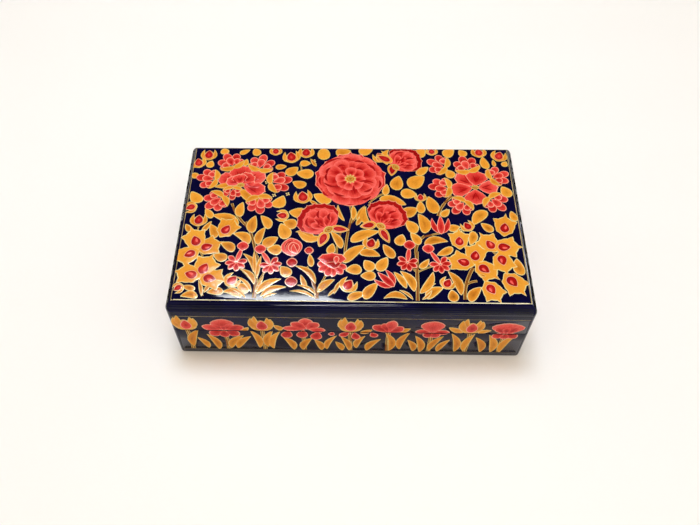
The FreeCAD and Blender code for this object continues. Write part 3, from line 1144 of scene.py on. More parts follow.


# The painting of the lid's top; places in millimetres from its middle

# Leaves: base, tip, width, and how far the middle swings to the left
LEAVES = (
    ((-78, 50.5), (-79, 56), 5.0, 0), ((-69, 51), (-63, 54.5), 3.6, 0),
    ((-57.5, 49.5), (-59.5, 56), 4.9, 0), ((-87, 39.5), (-85.5, 45), 4.6, 0),
    ((-92.5, 31.5), (-97, 35), 4.0, 0), ((-65, 41), (-64, 46.5), 3.6, 0),
    ((-46, 40), (-39.5, 41), 4.0, 0), ((-39, 34), (-32.5, 40), 6.2, 0),
    ((-26.5, 26), (-34.5, 28.5), 5.6, 0.1), ((-88, 12.5), (-94.8, 20), 6.4, 0.08),
    ((-64.5, 1.5), (-63.5, 12), 5.2, 0.08), ((-45.5, 9.3), (-40, 17.3), 7.0, -0.14),
    ((-25.5, 5), (-35.5, 5.5), 7.0, 0.05), ((-80.3, 0.5), (-84.8, 7), 4.2, 0),
    ((-64.5, -4.5), (-79.5, 2.2), 6.4, -0.10), ((-56.5, -10), (-55.2, 1.8), 5.6, 0.08),
    ((-46.5, -7), (-51.8, 2), 5.2, -0.10), ((-31, -5), (-38.5, -2), 6.6, -0.05),
    ((-91.5, -9.7), (-95, -4.3), 3.5, 0), ((-85, -9.7), (-80.6, -2.2), 3.0, 0),
    ((-77, -14), (-80.8, -4.5), 5.0, -0.08), ((-57, -17.5), (-66.5, -11), 5.6, -0.18),
    ((-52.5, -18.3), (-49, -6.5), 4.6, 0.10), ((-49.3, -19.5), (-41.6, -13.3), 6.2, 0.05),
    ((-36.5, -14.2), (-40, -3.6), 7.0, -0.05), ((-65.3, -22.8), (-73, -17.5), 5.4, -0.10),
    ((-68.6, -28), (-76.3, -25.3), 5.4, 0.05), ((-38.4, -22), (-46.5, -21.3), 6.4, 0),
    ((-33, -39.3), (-38.3, -33.3), 5.8, 0), ((-55.3, -50.3), (-61.6, -44.5), 5.0, -0.05),
    ((-58.4, -53), (-68.5, -50), 4.4, -0.18), ((-68.3, -50), (-77, -50.4), 4.6, -0.10),
    ((-82, -53.2), (-91, -53), 4.4, -0.16), ((-84, -48.5), (-91, -46.5), 3.4, 0),
    ((-5, -20.3), (-11, -9), 4.4, -0.08), ((-11.6, -24.5), (-10, -17.3), 4.6, 0),
    ((-4, -30), (8, -18.5), 6.0, 0.08), ((5, -23), (16, -25.2), 5.2, 0.10),
    ((0, -15.4), (15.6, -8.5), 6.2, 0.08), ((27, -18), (29.5, -10.5), 6.0, 0),
    ((24.3, -26.6), (18.8, -17.7), 5.2, 0), ((6.4, -34.6), (-2.2, -35), 6.2, -0.05),
    ((12.5, -35), (8, -28.6), 6.0, 0), ((15, -35.3), (20.3, -26.6), 6.0, 0),
    ((14, -38.5), (6, -38.6), 5.7, 0), ((7.4, -53.3), (14.4, -43.6), 5.6, 0.05),
    ((-1.5, -53.7), (8, -49.8), 4.6, 0.05), ((-21.5, -33), (-22.6, -24.8), 3.4, 0),
    ((-24, -47), (-27, -38.8), 2.8, 0), ((37.2, -9.4), (32, -0.6), 6.2, -0.08),
    ((39, -17.3), (34.5, -9.3), 4.8, -0.05), ((42.6, -9.2), (39.4, 4.2), 6.4, -0.12),
    ((41.5, -17), (54.3, -15), 5.0, 0.16), ((57.4, -19), (48.6, -24), 4.6, 0.05),
    ((55.7, -6), (62.4, -4.6), 4.8, 0), ((70, -7.4), (67.4, -16.8), 4.9, 0.06),
    ((81.2, -7.6), (75.2, -2), 4.8, 0), ((93.6, -37.3), (92, -26.6), 5.8, 0.05),
    ((38, -33.2), (43.3, -27.3), 3.6, -0.06), ((40.5, -52.6), (49.8, -46), 5.2, 0.10),
    ((55.6, -54.6), (54.6, -47.3), 5.4, 0), ((63.5, -54.2), (70.3, -45.6), 5.2, 0.08),
    ((42, 49), (45.4, 57), 6.6, 0.10), ((58, 49.4), (63.4, 56.8), 6.4, 0.05),
    ((70.4, 50), (67.4, 55.6), 5.0, 0), ((39.8, 34.8), (46.8, 40.8), 5.0, 0),
    ((35, 24.8), (43.8, 33.3), 8.6, 0.04), ((27, 22.6), (29, 33.3), 7.2, 0.04),
    ((29.6, 20.8), (38.8, 19), 6.8, 0), ((20.4, 18.5), (21.6, 26.8), 4.0, 0),
    ((17, 16.2), (31.8, 11.8), 6.6, 0.05), ((30.3, 4), (38.6, 8.6), 7.0, 0),
    ((49.6, 5.2), (46, 17.3), 6.8, 0), ((41, 5.2), (41, 13.8), 4.8, 0), ((52.5, 3), (57.3, 8), 4.2, 0),
    ((61.6, 32.6), (58.4, 38.6), 5.6, 0), ((83, 40), (81, 49.3), 5.0, 0.06),
    ((92.6, 42), (95, 46), 3.8, 0), ((87.5, 42), (87, 47.2), 2.4, 0), ((94, 18), (90, 25.6), 6.2, 0),
    ((79, 7.4), (70.6, -2.4), 6.6, -0.08), ((95, 0), (93, 7), 4.4, 0),
    ((-16.4, 46.5), (-17, 57), 7.2, 0), ((-9.3, 51.6), (-0.3, 54), 7.0, 0.05),
    ((5.2, 52.2), (13.4, 57), 7.0, 0), ((-31.2, 43.4), (-24.8, 43.6), 4.6, 0),
    ((-22.3, 34.8), (-32.5, 35.6), 7.0, 0.02), ((-11.6, 13), (-21.4, 18.6), 7.0, 0),
)
# Long narrow leaves, given in the same way
STRAPS = (
    ((-53, -37), (-60, -24.6), 3.8, -0.16), ((-52.2, -45), (-60.4, -35), 3.4, -0.16),
    ((-50.4, -51), (-37.6, -41.2), 4.6, 0.14), ((-48.4, -52.6), (-34.6, -46.4), 4.0, 0.14),
    ((-51.2, -41), (-49.8, -26), 2.8, 0.03), ((-52.4, -38), (-54, -23), 2.6, 0),
    ((-51.4, -50), (-47.4, -38.8), 2.2, 0), ((-53.4, -50), (-62.3, -40), 2.4, -0.12),
    ((-20.4, -14.3), (-31.4, -9), 4.2, -0.20), ((-17.4, -49.6), (-8.4, -41.2), 4.8, 0.12),
    ((-18.8, -44), (-30.6, -32.4), 3.8, -0.16), ((-18.4, -51), (-29, -45), 2.2, -0.12),
    ((-19, -53), (-33, -49), 2.2, -0.12), ((-8.8, -50.5), (-4, -41), 2.4, 0.06),
    ((-12, -52), (-6.5, -46.5), 1.9, 0.05), ((30.4, -46.4), (23.8, -35.8), 4.2, -0.06),
    ((34.6, -48.4), (27.2, -35.2), 5.4, -0.14), ((30.6, -53.2), (17.8, -53), 4.4, -0.22),
    ((37.4, -49.6), (45.4, -35.4), 5.0, -0.10), ((59.6, -50.4), (53.4, -35), 5.4, -0.12),
    ((39, -48), (46.4, -43), 2.0, 0.06), ((-21, 41), (-24.8, 47.3), 2.6, 0),
    ((-19, 10.2), (-24.4, 14.6), 2.6, 0), ((-3.4, -1), (-7.4, 11), 2.8, 0.10),
    ((1.4, 0), (1.2, 10.8), 3.6, -0.06), ((3.6, -0.4), (8.4, 10.6), 2.4, 0.06),
    ((3.4, -4), (6.6, 2.4), 3.0, 0), ((-80, -52.6), (-82.8, -43), 2.4, -0.05),
    ((-76.6, -45.4), (-79, -50.6), 2.6, 0), ((74, -38.4), (70, -36.6), 2.2, 0),
    ((33.6, -53.4), (26.4, -47.6), 2.0, -0.10), ((38.4, -53.4), (44, -47.4), 2.0, -0.08),
    ((-56, -53.6), (-66.4, -47), 2.0, -0.10), ((-47, -53.6), (-39.6, -50.6), 2.0, 0.10),
    ((-67, 22.6), (-57, 10.6), 6.0, 0.06), ((-67, 24), (-81.6, 24), 5.0, -0.08),
    ((-57.6, 11), (-49.6, 17.6), 5.0, 0.10),
)
# Stems: start, the point that pulls the curve, end, width
STEMS = (
    ((-51.6, -53.5), (-51.2, -40), (-52.4, -26), 2.0), ((-51.8, -34), (-52.6, -18), (-60.6, -2), 1.6),
    ((-59, -6), (-67, 2), (-69.8, 11.5), 1.5), ((-51.4, -46), (-47.6, -38), (-45.6, -33), 1.1),
    ((-52.4, -44), (-57, -38), (-62, -33), 1.1), ((-17.8, -53.5), (-19.6, -42), (-24.4, -33), 1.9),
    ((-17.6, -52), (-16.8, -44), (-11.4, -35), 1.2), ((-3.2, -27), (-2.6, -12), (0.6, 1), 1.5),
    ((-7.6, -28), (-8.2, -18), (-5.4, -9), 1.1), ((0.4, 0), (1.4, 4), (-0.6, 10.6), 1.1),
    ((0.8, -2), (4.4, 4), (8, 9.4), 1.2), ((36, -54), (36.6, -38), (37, -22), 1.9),
    ((37, -26), (35, -18), (42, -11), 1.6), ((36.4, -36), (34, -33), (32.4, -30), 1.0),
    ((36.6, -36), (41, -33), (48, -31), 1.0), ((61.4, -53), (61, -44), (67.4, -32.4), 1.9),
    ((61.8, -45), (64, -41.6), (68.8, -41.2), 1.3), ((42, -11.6), (48, -9.6), (51, -9), 1.2),
    ((50.6, 3.4), (53, 12), (60, 18.6), 1.6), ((51.4, 2), (52.8, 5.6), (56.4, 8.6), 1.0),
    ((-82.6, -42), (-81.2, -47), (-79.6, -52.6), 1.2), ((-84.6, -23), (-82, -27), (-81.6, -31), 1.0),
    ((-87.4, -5.6), (-87.8, -8), (-87.4, -11), 0.9), ((17, 13.4), (13.6, 11.6), (10.2, 10.8), 1.0),
    ((19, 19.6), (14.4, 17), (10.8, 12.4), 1.0), ((-30, 37.4), (-29.8, 40), (-31.2, 42.8), 0.9),
    ((79.6, -21.6), (80.2, -23), (81.6, -24), 1.0), ((66.6, -31), (68, -30.4), (69.4, -29), 1.0),
)
# Pink flowers of many petals: middle of the petals, middle of the crescent, size
CLUSTERS = (
    (-75, 47, -72, 40.6, 13.5), (-54, 45, -55.5, 38.8, 13.5), (-88, 31, -82.2, 30, 13),
    (-40.5, 29, -47.2, 27.5, 14), (-82.5, 10.5, -76.6, 16, 13.5), (-53, 8.6, -54.4, 15.6, 13.5),
    (-70.5, 17.6, -70.5, 22.8, 10), (51.4, 44, 57, 41.4, 13), (69.6, 45.4, 71.4, 38.8, 13.5),
    (90, 35, 85, 32.6, 12.5), (51.6, 25, 57.8, 24.8, 13), (62.6, 8.6, 66.6, 13.8, 12.5),
    (87, 11.6, 82.4, 16.6, 13),
)
# Red buds in gold cups: place, the way they point, size
BUDS = (
    (-88, 50, 90, 8.4), (-93.6, 43.4, 105, 8), (-36.6, 48.6, 100, 9.2), (-27.6, 52.4, 90, 8.4),
    (-46.6, 53.4, 90, 6.6), (-28.2, 16.8, 100, 9.4), (-93.8, 8.4, 195, 7.2), (-88, -1.2, 90, 8.4),
    (-39.6, 2.6, 175, 7.4), (50, 54, 90, 6.4), (79, 53.4, 90, 8), (91, 50.4, 70, 8.4),
    (41.2, 17, 90, 6), (11.6, -16.8, 75, 8), (67, -4, 120, 7), (-93.4, -47.6, 215, 6),
    (-1.2, -44.8, 60, 8.6), (52.6, -43, 60, 7.2), (18.4, 49, 120, 8.4), (-64.6, -42.6, 50, 8.2),
)
# Toothed gold lobes of irises: place of the red heart, the way of the teeth, size
IRISES = (
    (-88, -15.6, 112, 14.2), (-80.6, -20, 22, 13.2), (-90.4, -25.4, 208, 13.2),
    (-80.8, -34.4, 66, 14.6), (-88, -38.8, 165, 13.8), (-76.6, -41.4, -8, 13.8),
    (-71.2, -7.4, 62, 13.6), (78.2, -16.4, 122, 13), (86.6, -18.4, 2, 14), (69.4, -24, 78, 13.4),
    (62, -28.8, 162, 13.6), (73.8, -33.6, -42, 13.6), (84, -27.8, -80, 13.4), (88, -41.8, -55, 14.4),
    (76, -46.8, -62, 13), (88, -4.4, 80, 13.6), (61.4, -14.2, 88, 12.4),
)
# Star lilies: place, size, and their round bud
LILIES = (
    (-63.4, -30.4, 11.2, (-60.6, -19.4)), (-44.2, -32, 11.4, (-50.6, -21.4)),
    (31.6, -29.4, 11, (33.2, -17.6)), (49.6, -30.4, 11.2, (43.6, -20)),
)


def longer(base: Point, tip: Point, times: float) -> Point:
    """Return the tip of a stroke that is so many times as long."""
    return base[0] + (tip[0] - base[0]) * times, base[1] + (tip[1] - base[1]) * times


@dataclass
class LidPainting:
    """The garden of flowers on the lid's top, inside its gold line."""

    painter: Painter
    line_inset: float = 3.5
    front_line_inset: float = 4.5
    back_line_inset: float = 2.5
    line_width: float = 0.55

    def paint(self) -> None:
        """Paint the whole top, from the stems up to the roses."""
        self.painter.turn_to(Face.TOP)
        motifs = Motifs(self.painter)
        self.gold_line()
        for start, pull, end, width in STEMS:
            self.painter.ribbon(Pigment.STEM, (start, pull, end), width, 0.3)
        for base, tip, width, bend in LEAVES:
            motifs.leaf(base, longer(base, tip, 1.06), 1.13 * width, bend, 1.2)
        for base, tip, width, bend in STRAPS:
            motifs.strap(base, tip, width, bend, 2.0)
        for x, y in ((-50.4, 28), (-45.4, 18), (-37.4, 19), (-22.6, 45.6), (63.6, -6.8)):
            motifs.blossom(Spot(x, y, 20, 2.8))
        for x, y, back_x, back_y, size in CLUSTERS:
            motifs.cluster(Spot(back_x, back_y, math.degrees(math.atan2(y - back_y, x - back_x)), size))
        for x, y, turn, size in BUDS:
            motifs.bud(Spot(x, y, turn, size))
        for x, y, turn, size in IRISES:
            motifs.iris(Spot(x, y, turn, size))
        for x, y, size, bud in LILIES:
            motifs.lily(Spot(x, y, math.degrees(math.atan2(bud[1] - y, bud[0] - x)), size), bud)
        for x, y, turn, size in ((51.6, -3.4, 90, 13), (19.4, -41, 135, 12.6)):
            motifs.tulip(Spot(x, y, turn, size))
        motifs.round_rose(Spot(-33, -19.8, 100, 13))
        for x, y, turn, size in ((-23.2, -22, 0, 5.4), (-32.4, -30.2, 90, 6.4), (-32.2, -43, 90, 7.2)):
            motifs.red_round(Spot(x, y, turn, size))
        motifs.carnation(Spot(-9.8, -30.6, 90, 16.5))
        motifs.wild_rose(Spot(-66, 25.5, 90), LEFT_WILD_ROSE)
        motifs.wild_rose(Spot(74, 25, 90), RIGHT_WILD_ROSE)
        for base, tip, width in (((-11.6, -6.4), (-0.6, -7.4), 5.6), ((-13.6, -8.6), (-17.6, -19.6), 6.6),
                                 ((15, -3), (5.4, -5), 6.2), ((17, -5.6), (22, -16.4), 5.6),
                                 ((25.6, 44.8), (15.6, 50.6), 6.6), ((26, 43.4), (24.6, 33.6), 6.4)):
            motifs.sepal_petal(base, tip, width)
        motifs.half_rose(Spot(-17.6, -1.2, 125, 25))
        motifs.half_rose(Spot(20.4, 2.4, 62, 23.5))
        motifs.half_rose(Spot(32, 46, 45, 22))
        motifs.great_rose(Spot(-0.2, 31, 90))

    def gold_line(self) -> None:
        """Paint the thin gold line round the top, with a painted highlight along its front and painted shade along
        its back.
        """
        form = self.painter.form
        right, front, back = (form.length / 2 - self.line_inset, self.front_line_inset - form.depth / 2,
                              form.depth / 2 - self.back_line_inset)
        corners = [(-right, front), (right, front), (right, back), (-right, back)]
        # The four shades are painted light: the front side palest as a painted highlight, the back side darkest as
        # painted shade.
        for first, second, shade in zip(corners, corners[1:] + corners[:1], (0.95, 0.62, 0.30, 0.48)):
            self.painter.ribbon(Pigment.LINE, (first, second), self.line_width, 0.0, steps=40, dark=shade,
                                line=0.14)


# The painting of the sides; places in millimetres across from a plant's stem and up from the table


class Plant(Enum):
    """A kind of flower that grows up a side, across the seam."""

    BUD = "bud"
    DOME = "dome"
    IRIS = "iris"
    FAN = "fan"
    ROUND = "round"
    OVAL = "oval"


# The petals of each kind from the back to the front: base, tip, width, shade of the heart, shade of the rim
PLANT_PETALS: dict[Plant, tuple] = {
    Plant.BUD: (((0, 27.6), (0.2, 38.2), 6.6, 0.34, 0.74),),
    Plant.DOME: (
        ((0, 28), (-12, 31.6), 7.4, 0.30, 0.74), ((0, 28), (11.6, 31.2), 7.4, 0.30, 0.74),
        ((-1, 26.8), (-8.4, 21), 7.2, 0.24, 0.66), ((1, 26.8), (8, 21), 7.2, 0.24, 0.66),
        ((0, 27.6), (0, 18.6), 6.0, 0.24, 0.60), ((0, 26.4), (0.2, 39.6), 13.6, 0.34, 0.80),
        ((0, 27), (-5.4, 33.8), 6.6, 0.26, 0.74), ((0, 27), (5.0, 34.2), 6.6, 0.26, 0.74),
        ((0, 26.6), (0.4, 33), 5.0, 0.20, 0.62)),
    Plant.IRIS: (
        ((2, 29), (-6.2, 37), 7.4, 0.34, 0.78), ((2, 29), (8.4, 37), 7.4, 0.34, 0.78),
        ((2, 30), (1.6, 41.6), 8.4, 0.30, 0.80), ((2, 29.4), (-1.6, 37.8), 5.4, 0.26, 0.72),
        ((2, 29.4), (4.6, 37.6), 5.4, 0.26, 0.72), ((1, 29), (-11.6, 30.4), 5.8, 0.36, 0.74),
        ((3, 29), (12.6, 28.4), 6.2, 0.36, 0.74), ((-8, 28.2), (-10.6, 18.6), 6.8, 0.26, 0.66),
        ((0.4, 28.6), (-1.6, 19), 6.8, 0.26, 0.66), ((8.4, 27.2), (6.6, 16.8), 7.0, 0.22, 0.66)),
    Plant.FAN: (
        ((0, 26.6), (-9.2, 34.6), 7.6, 0.26, 0.72), ((0, 26.6), (7.6, 33.4), 7.2, 0.26, 0.70),
        ((0, 26.4), (-3.4, 37), 6.4, 0.28, 0.74), ((0, 26.4), (2.0, 40.2), 7.4, 0.34, 0.78),
        ((0, 26.4), (4.6, 31.6), 5.0, 0.22, 0.66)),
    Plant.ROUND: (
        ((0, 28.4), (-9.6, 28), 5.6, 0.30, 0.70), ((0, 28.4), (9.8, 27.4), 5.6, 0.30, 0.70),
        ((0, 28), (-3.4, 21.4), 6.4, 0.26, 0.66), ((0, 28), (3.4, 21.4), 6.4, 0.26, 0.66),
        ((0, 26.4), (0, 40), 13.6, 0.40, 0.80), ((-0.6, 27), (-3.8, 36.6), 4.4, 0.24, 0.76),
        ((0.6, 27), (3.8, 36.6), 4.4, 0.24, 0.76), ((0, 27), (0, 36), 4.0, 0.20, 0.72)),
    Plant.OVAL: (
        ((-1, 28), (-6.4, 21.8), 6.2, 0.26, 0.62), ((1, 28), (6.6, 21.8), 6.2, 0.26, 0.62),
        ((0, 27), (0, 20.6), 6.0, 0.22, 0.60), ((0, 25.6), (0.2, 38.8), 18.6, 0.40, 0.80),
        ((-1, 27), (-5.6, 34.6), 5.6, 0.22, 0.72), ((1, 27), (5.8, 34.6), 5.6, 0.22, 0.72),
        ((0, 26.4), (0, 34.2), 5.4, 0.20, 0.70)),
}
# The gold parts of a bud: base, tip, width, bend
BUD_SEPALS = (((-0.8, 27.6), (-5.4, 41.0), 5.0, 0.13), ((0.8, 27.6), (5.4, 40.2), 4.8, -0.13),
              ((-2.0, 28.4), (-3.2, 43), 4.6, 0.06), ((2.4, 28.6), (3.6, 41.4), 4.4, -0.06))
# The long leaves at the foot of the row: base, tip, width
FOOT_STRAPS = (
    (-95, 6, -97, 25, 3.5), (-90.5, 8, -85, 26, 3.5), (-82, 6, -87, 17, 2.8), (-76, 4.5, -81, 21, 3.2),
    (-69, 6, -60, 20, 3.4), (-65, 6, -56, 19, 3.4), (-52, 7, -56, 26, 3), (-47, 8, -43, 26, 3),
    (-44, 6, -39, 25, 3), (-32, 5, -38, 19, 3.2), (-27, 5, -21, 18, 3.2), (-16, 5, -20, 16, 3),
    (-13, 6, -7, 21, 2.6), (-4, 5, -8, 14, 2.8), (0, 5, -5, 20, 2.8), (4, 8, 9, 21, 2.8),
    (10, 5, 18, 17.5, 3.2), (23, 5, 20, 25, 3), (29, 7, 34, 26, 3), (37, 5, 33, 17, 2.8),
    (41, 4, 37, 22, 3), (46, 6, 53, 22, 3), (51, 5, 57, 18, 2.8), (61, 5, 57, 25, 3),
    (66, 6, 70, 25, 3), (76, 5, 71, 21, 3), (82, 5, 78, 24, 3.2), (87, 5, 93, 24, 3.2),
    (91, 5, 96.4, 20, 3),
)
# Leaves across the seam between the plants, and petals that fall below it, given in the same way
SEAM_LEAVES = ((-38, 27.6, -42.4, 33.4, 4.4), (6, 25.4, 12.6, 29.6, 4.2), (27.6, 27.2, 33.8, 31.4, 4.6),
               (63, 27.4, 54.6, 33.2, 5.2), (71.4, 26.8, 78.4, 30.4, 4.2), (-60.6, 26.6, -56.4, 30.6, 3.6))
SEAM_PETALS = ((0, 26.4, -5.6, 21.4, 5.2), (2.6, 26.6, 4.2, 17.6, 5.4), (12, 26.6, 15, 20.8, 5),
               (-9.4, 26.6, -10.6, 22, 4))
FRONT_PLANTS = (
    (Plant.BUD, -91.4), (Plant.DOME, -70.5), (Plant.BUD, -49), (Plant.IRIS, -26), (Plant.BUD, 0.6),
    (Plant.FAN, 22), (Plant.ROUND, 46), (Plant.BUD, 67), (Plant.OVAL, 86.6),
)
BACK_PLANTS = (
    (Plant.OVAL, -86), (Plant.BUD, -42.6), (Plant.IRIS, -21), (Plant.BUD, 0.6), (Plant.DOME, 22),
    (Plant.BUD, 43), (Plant.ROUND, 86.4),
)
END_PLANTS = ((Plant.DOME, -44), (Plant.BUD, -22), (Plant.IRIS, 0), (Plant.BUD, 23), (Plant.ROUND, 44))


@dataclass
class SidePainting:
    """The row of plants on each side of the box, between two gold lines."""

    painter: Painter
    line_heights: Point = (41.8, 4.0)
    line_width: float = 0.4
    line_margin: float = 2.6

    def paint(self) -> None:
        """Paint the four sides."""
        rows = {Face.FRONT: FRONT_PLANTS, Face.BACK: BACK_PLANTS, Face.LEFT: END_PLANTS,
                Face.RIGHT: tuple((kind, -place) for kind, place in reversed(END_PLANTS))}
        for face, plants in rows.items():
            self.painter.turn_to(face)
            form = self.painter.form
            half = (form.length if face in (Face.FRONT, Face.BACK) else form.depth) / 2 - self.line_margin
            # The lines' shades are painted light: the lower line, near the table, is darkest as painted shade.
            for height in self.line_heights:
                self.painter.ribbon(Pigment.LINE, ((-half, height), (half, height)), self.line_width, 0.0,
                                    steps=40, dark=0.45 if height > 10 else 0.1, line=0.10)
            for kind, place in plants:
                self.stem(place)
            self.foot(face, half)
            for kind, place in plants:
                self.flower(kind, place)

    def stem(self, place: float) -> None:
        """Paint the two close stems of a plant."""
        lean = self.painter.uneven(0.8)
        for shift in (-0.6, 0.6):
            path = ((place + shift, 4.6), (place + shift + lean, 16), (place + shift, 27.5))
            self.painter.ribbon(Pigment.STEM, path, 1.2, 0.4, steps=6)

    def foot(self, face: Face, half: float) -> None:
        """Paint the long leaves at the foot of a face, and the front's leaves and petals across the seam.

        Args:
            face: the face; on the back the leaves under the hinges stay low.
            half: how far the leaves may reach from its middle, in millimetres.
        """
        motifs, painter = Motifs(self.painter), self.painter
        low, high = (corner.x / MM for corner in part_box("right_hinge_base_leaf"))
        for x, y, far_x, far_y, width in FOOT_STRAPS:
            if max(abs(x), abs(far_x)) + width / 2 > half:
                continue
            near, far = sorted((abs(x), abs(far_x)))
            hinged = face is Face.BACK and far > low - 3 and near < high + 3
            top = 14.0 if hinged else far_y + 1.2
            bend = math.copysign(0.11, far_x - x) + painter.uneven(0.03)
            motifs.strap((x, y - 0.6), (x + (far_x - x) * (top - y) / (far_y + 1.2 - y), top),
                         (1.1 if hinged else 1.6) * width, bend, 1.4)
        if face is not Face.FRONT:
            return
        for x, y, far_x, far_y, width in SEAM_LEAVES:
            motifs.leaf((x, y), (far_x, far_y), width, painter.uneven(0.1), 2.0)
        for x, y, far_x, far_y, width in SEAM_PETALS:
            painter.stroke(Pigment.PETAL, PETAL, (x, y), (far_x, far_y), width, 0.0, 2.2, (0.24, 0.66))

    def flower(self, kind: Plant, place: float) -> None:
        """Paint the flower of one plant.

        Args:
            kind: its kind.
            place: the place of its stem across the face, in millimetres.
        """
        painter, motifs = self.painter, Motifs(self.painter)
        if kind is Plant.BUD:
            painter.stroke(Pigment.LEAF, HEART, (place, 26.4), (place, 38.6), 12.6, 0.0, 2.0, (0.5, 0.72))
            for base, tip, width, bend in BUD_SEPALS:
                motifs.leaf((place + base[0], base[1]), (place + tip[0], tip[1]), width, bend, 2.3, STRAP)
        for base, tip, width, heart, rim in PLANT_PETALS[kind]:
            outline = HEART if kind is Plant.BUD else PETAL
            painter.stroke(Pigment.PETAL, outline, (place + base[0], base[1]), (place + tip[0], tip[1]),
                           width, painter.uneven(0.03), 3.2, (heart, rim), 0.40)


# Lining and hinges

@dataclass(frozen=True)
class Velvet:
    """Deep red cotton velvet with a short pile that lies one way and another, its sheen painted as lighter and
    darker patches.
    """

    name: str = "red_velvet"
    shadow: Colour = (0.115, 0.004, 0.010)
    light: Colour = (0.215, 0.009, 0.018)

    def material(self) -> bpy.types.Material:
        """Return the velvet's material."""
        material, graph = new_graph(self.name)
        place = graph.object_place()
        lie = graph.noise(place, 160.0, 4.0, 0.7)
        pile = graph.noise(graph.stretched(place, (1.0, 0.6, 1.0)), 2400.0, 2.0)
        graph.surface({
            # Shadow and light mixed by the pile's lie are painted sheen of the velvet.
            "Base Color": graph.mix((lie * 0.4 + pile * 0.6).within(0.30, 0.75), self.shadow, self.light),
            "Roughness": 0.9,
            "IOR": 1.35,
            "Sheen Weight": 0.14,
            "Sheen Roughness": 0.40,
            "Sheen Tint": (1.0, 0.45, 0.45, 1.0),
            "Normal": graph.bump(pile, 0.00025),
        })
        return material


@dataclass(frozen=True)
class Brass:
    """Rolled brass, handled and slightly dulled."""

    name: str = "dulled_brass"
    clean: Colour = (0.80, 0.56, 0.22)
    dull: Colour = (0.60, 0.41, 0.16)

    def material(self) -> bpy.types.Material:
        """Return the brass's material."""
        material, graph = new_graph(self.name)
        place = graph.object_place()
        tarnish = graph.noise(place, 190.0, 5.0, 0.70).within(0.34, 0.70)
        scratches = graph.noise(graph.stretched(place, (0.08, 1.0, 1.0)), 6000.0, 2.0)
        graph.surface({
            "Base Color": graph.mix(tarnish, self.clean, self.dull),
            "Metallic": 1.0,
            "Roughness": 0.24 + tarnish * 0.20 + scratches * 0.06,
            "Normal": graph.bump(scratches, 0.00001),
        })
        return material


@dataclass
class FloorLining:
    """The card on the floor of the base, wrapped in velvet over a thin wadding."""

    form: BoxForm
    roll: float = 0.7
    foot: float = 0.25
    unevenness: float = 0.06
    columns: int = 84
    rows: int = 52

    def build(self) -> bpy.types.Object:
        """Make the lining: a soft crowned sheet of velvet that rolls down over the card's edges.

        Returns:
            The piece, which stands for the lining of the frame.
        """
        low, high = (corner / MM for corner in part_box("floor_lining"))
        half_x, half_y = high.x, high.y
        bm = bmesh.new()
        bmesh.ops.create_grid(bm, x_segments=self.columns, y_segments=self.rows, size=1.0)
        for vert in bm.verts:
            x, y = (half * math.copysign(1.0 - (1.0 - abs(share)) ** 1.7, share)
                    for half, share in ((half_x, vert.co.x), (half_y, vert.co.y)))
            vert.co = Vector((x, y, self.top_at(half_x - abs(x), half_y - abs(y), x, y, high.z)))
        edges = [edge for edge in bm.edges if edge.is_boundary]
        for inset, height in ((0.0, low.z + self.foot), (self.foot, low.z)):
            edges = boundary_of(bmesh.ops.extrude_edge_only(bm, edges=edges)["geom"])
            for vert in {vert for edge in edges for vert in edge.verts}:
                vert.co = Vector((min(max(vert.co.x, inset - half_x), half_x - inset),
                                  min(max(vert.co.y, inset - half_y), half_y - inset), height))
        bmesh.ops.contextual_create(bm, geom=edges)
        bmesh.ops.scale(bm, vec=(MM, MM, MM), verts=bm.verts)
        bmesh.ops.recalc_face_normals(bm, faces=bm.faces)
        for face in bm.faces:
            face.smooth = len(face.verts) <= 4
        piece = finish_mesh("velvet_floor", bm, [Velvet().material()], "base")
        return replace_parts(piece, "floor_lining")

    def top_at(self, end: float, side: float, x: float, y: float, top: float) -> float:
        """Return the height of the velvet, in millimetres.

        Args:
            end: the distance from the nearer end.
            side: the distance from the nearer long side.
            x: the place along the length.
            y: the place along the depth.
            top: the height of the crown.

        Returns:
            The height, which falls round the edges and is a little uneven between them.
        """
        fall = 0.0
        for distance in (end, side):
            over = max(self.roll - distance, 0.0)
            fall = max(fall, self.roll - math.sqrt(self.roll ** 2 - over ** 2))
        dip = 0.5 + 0.5 * noise.noise(Vector((x / 24.0, y / 24.0, 0.0)))
        return top - fall - self.unevenness * dip


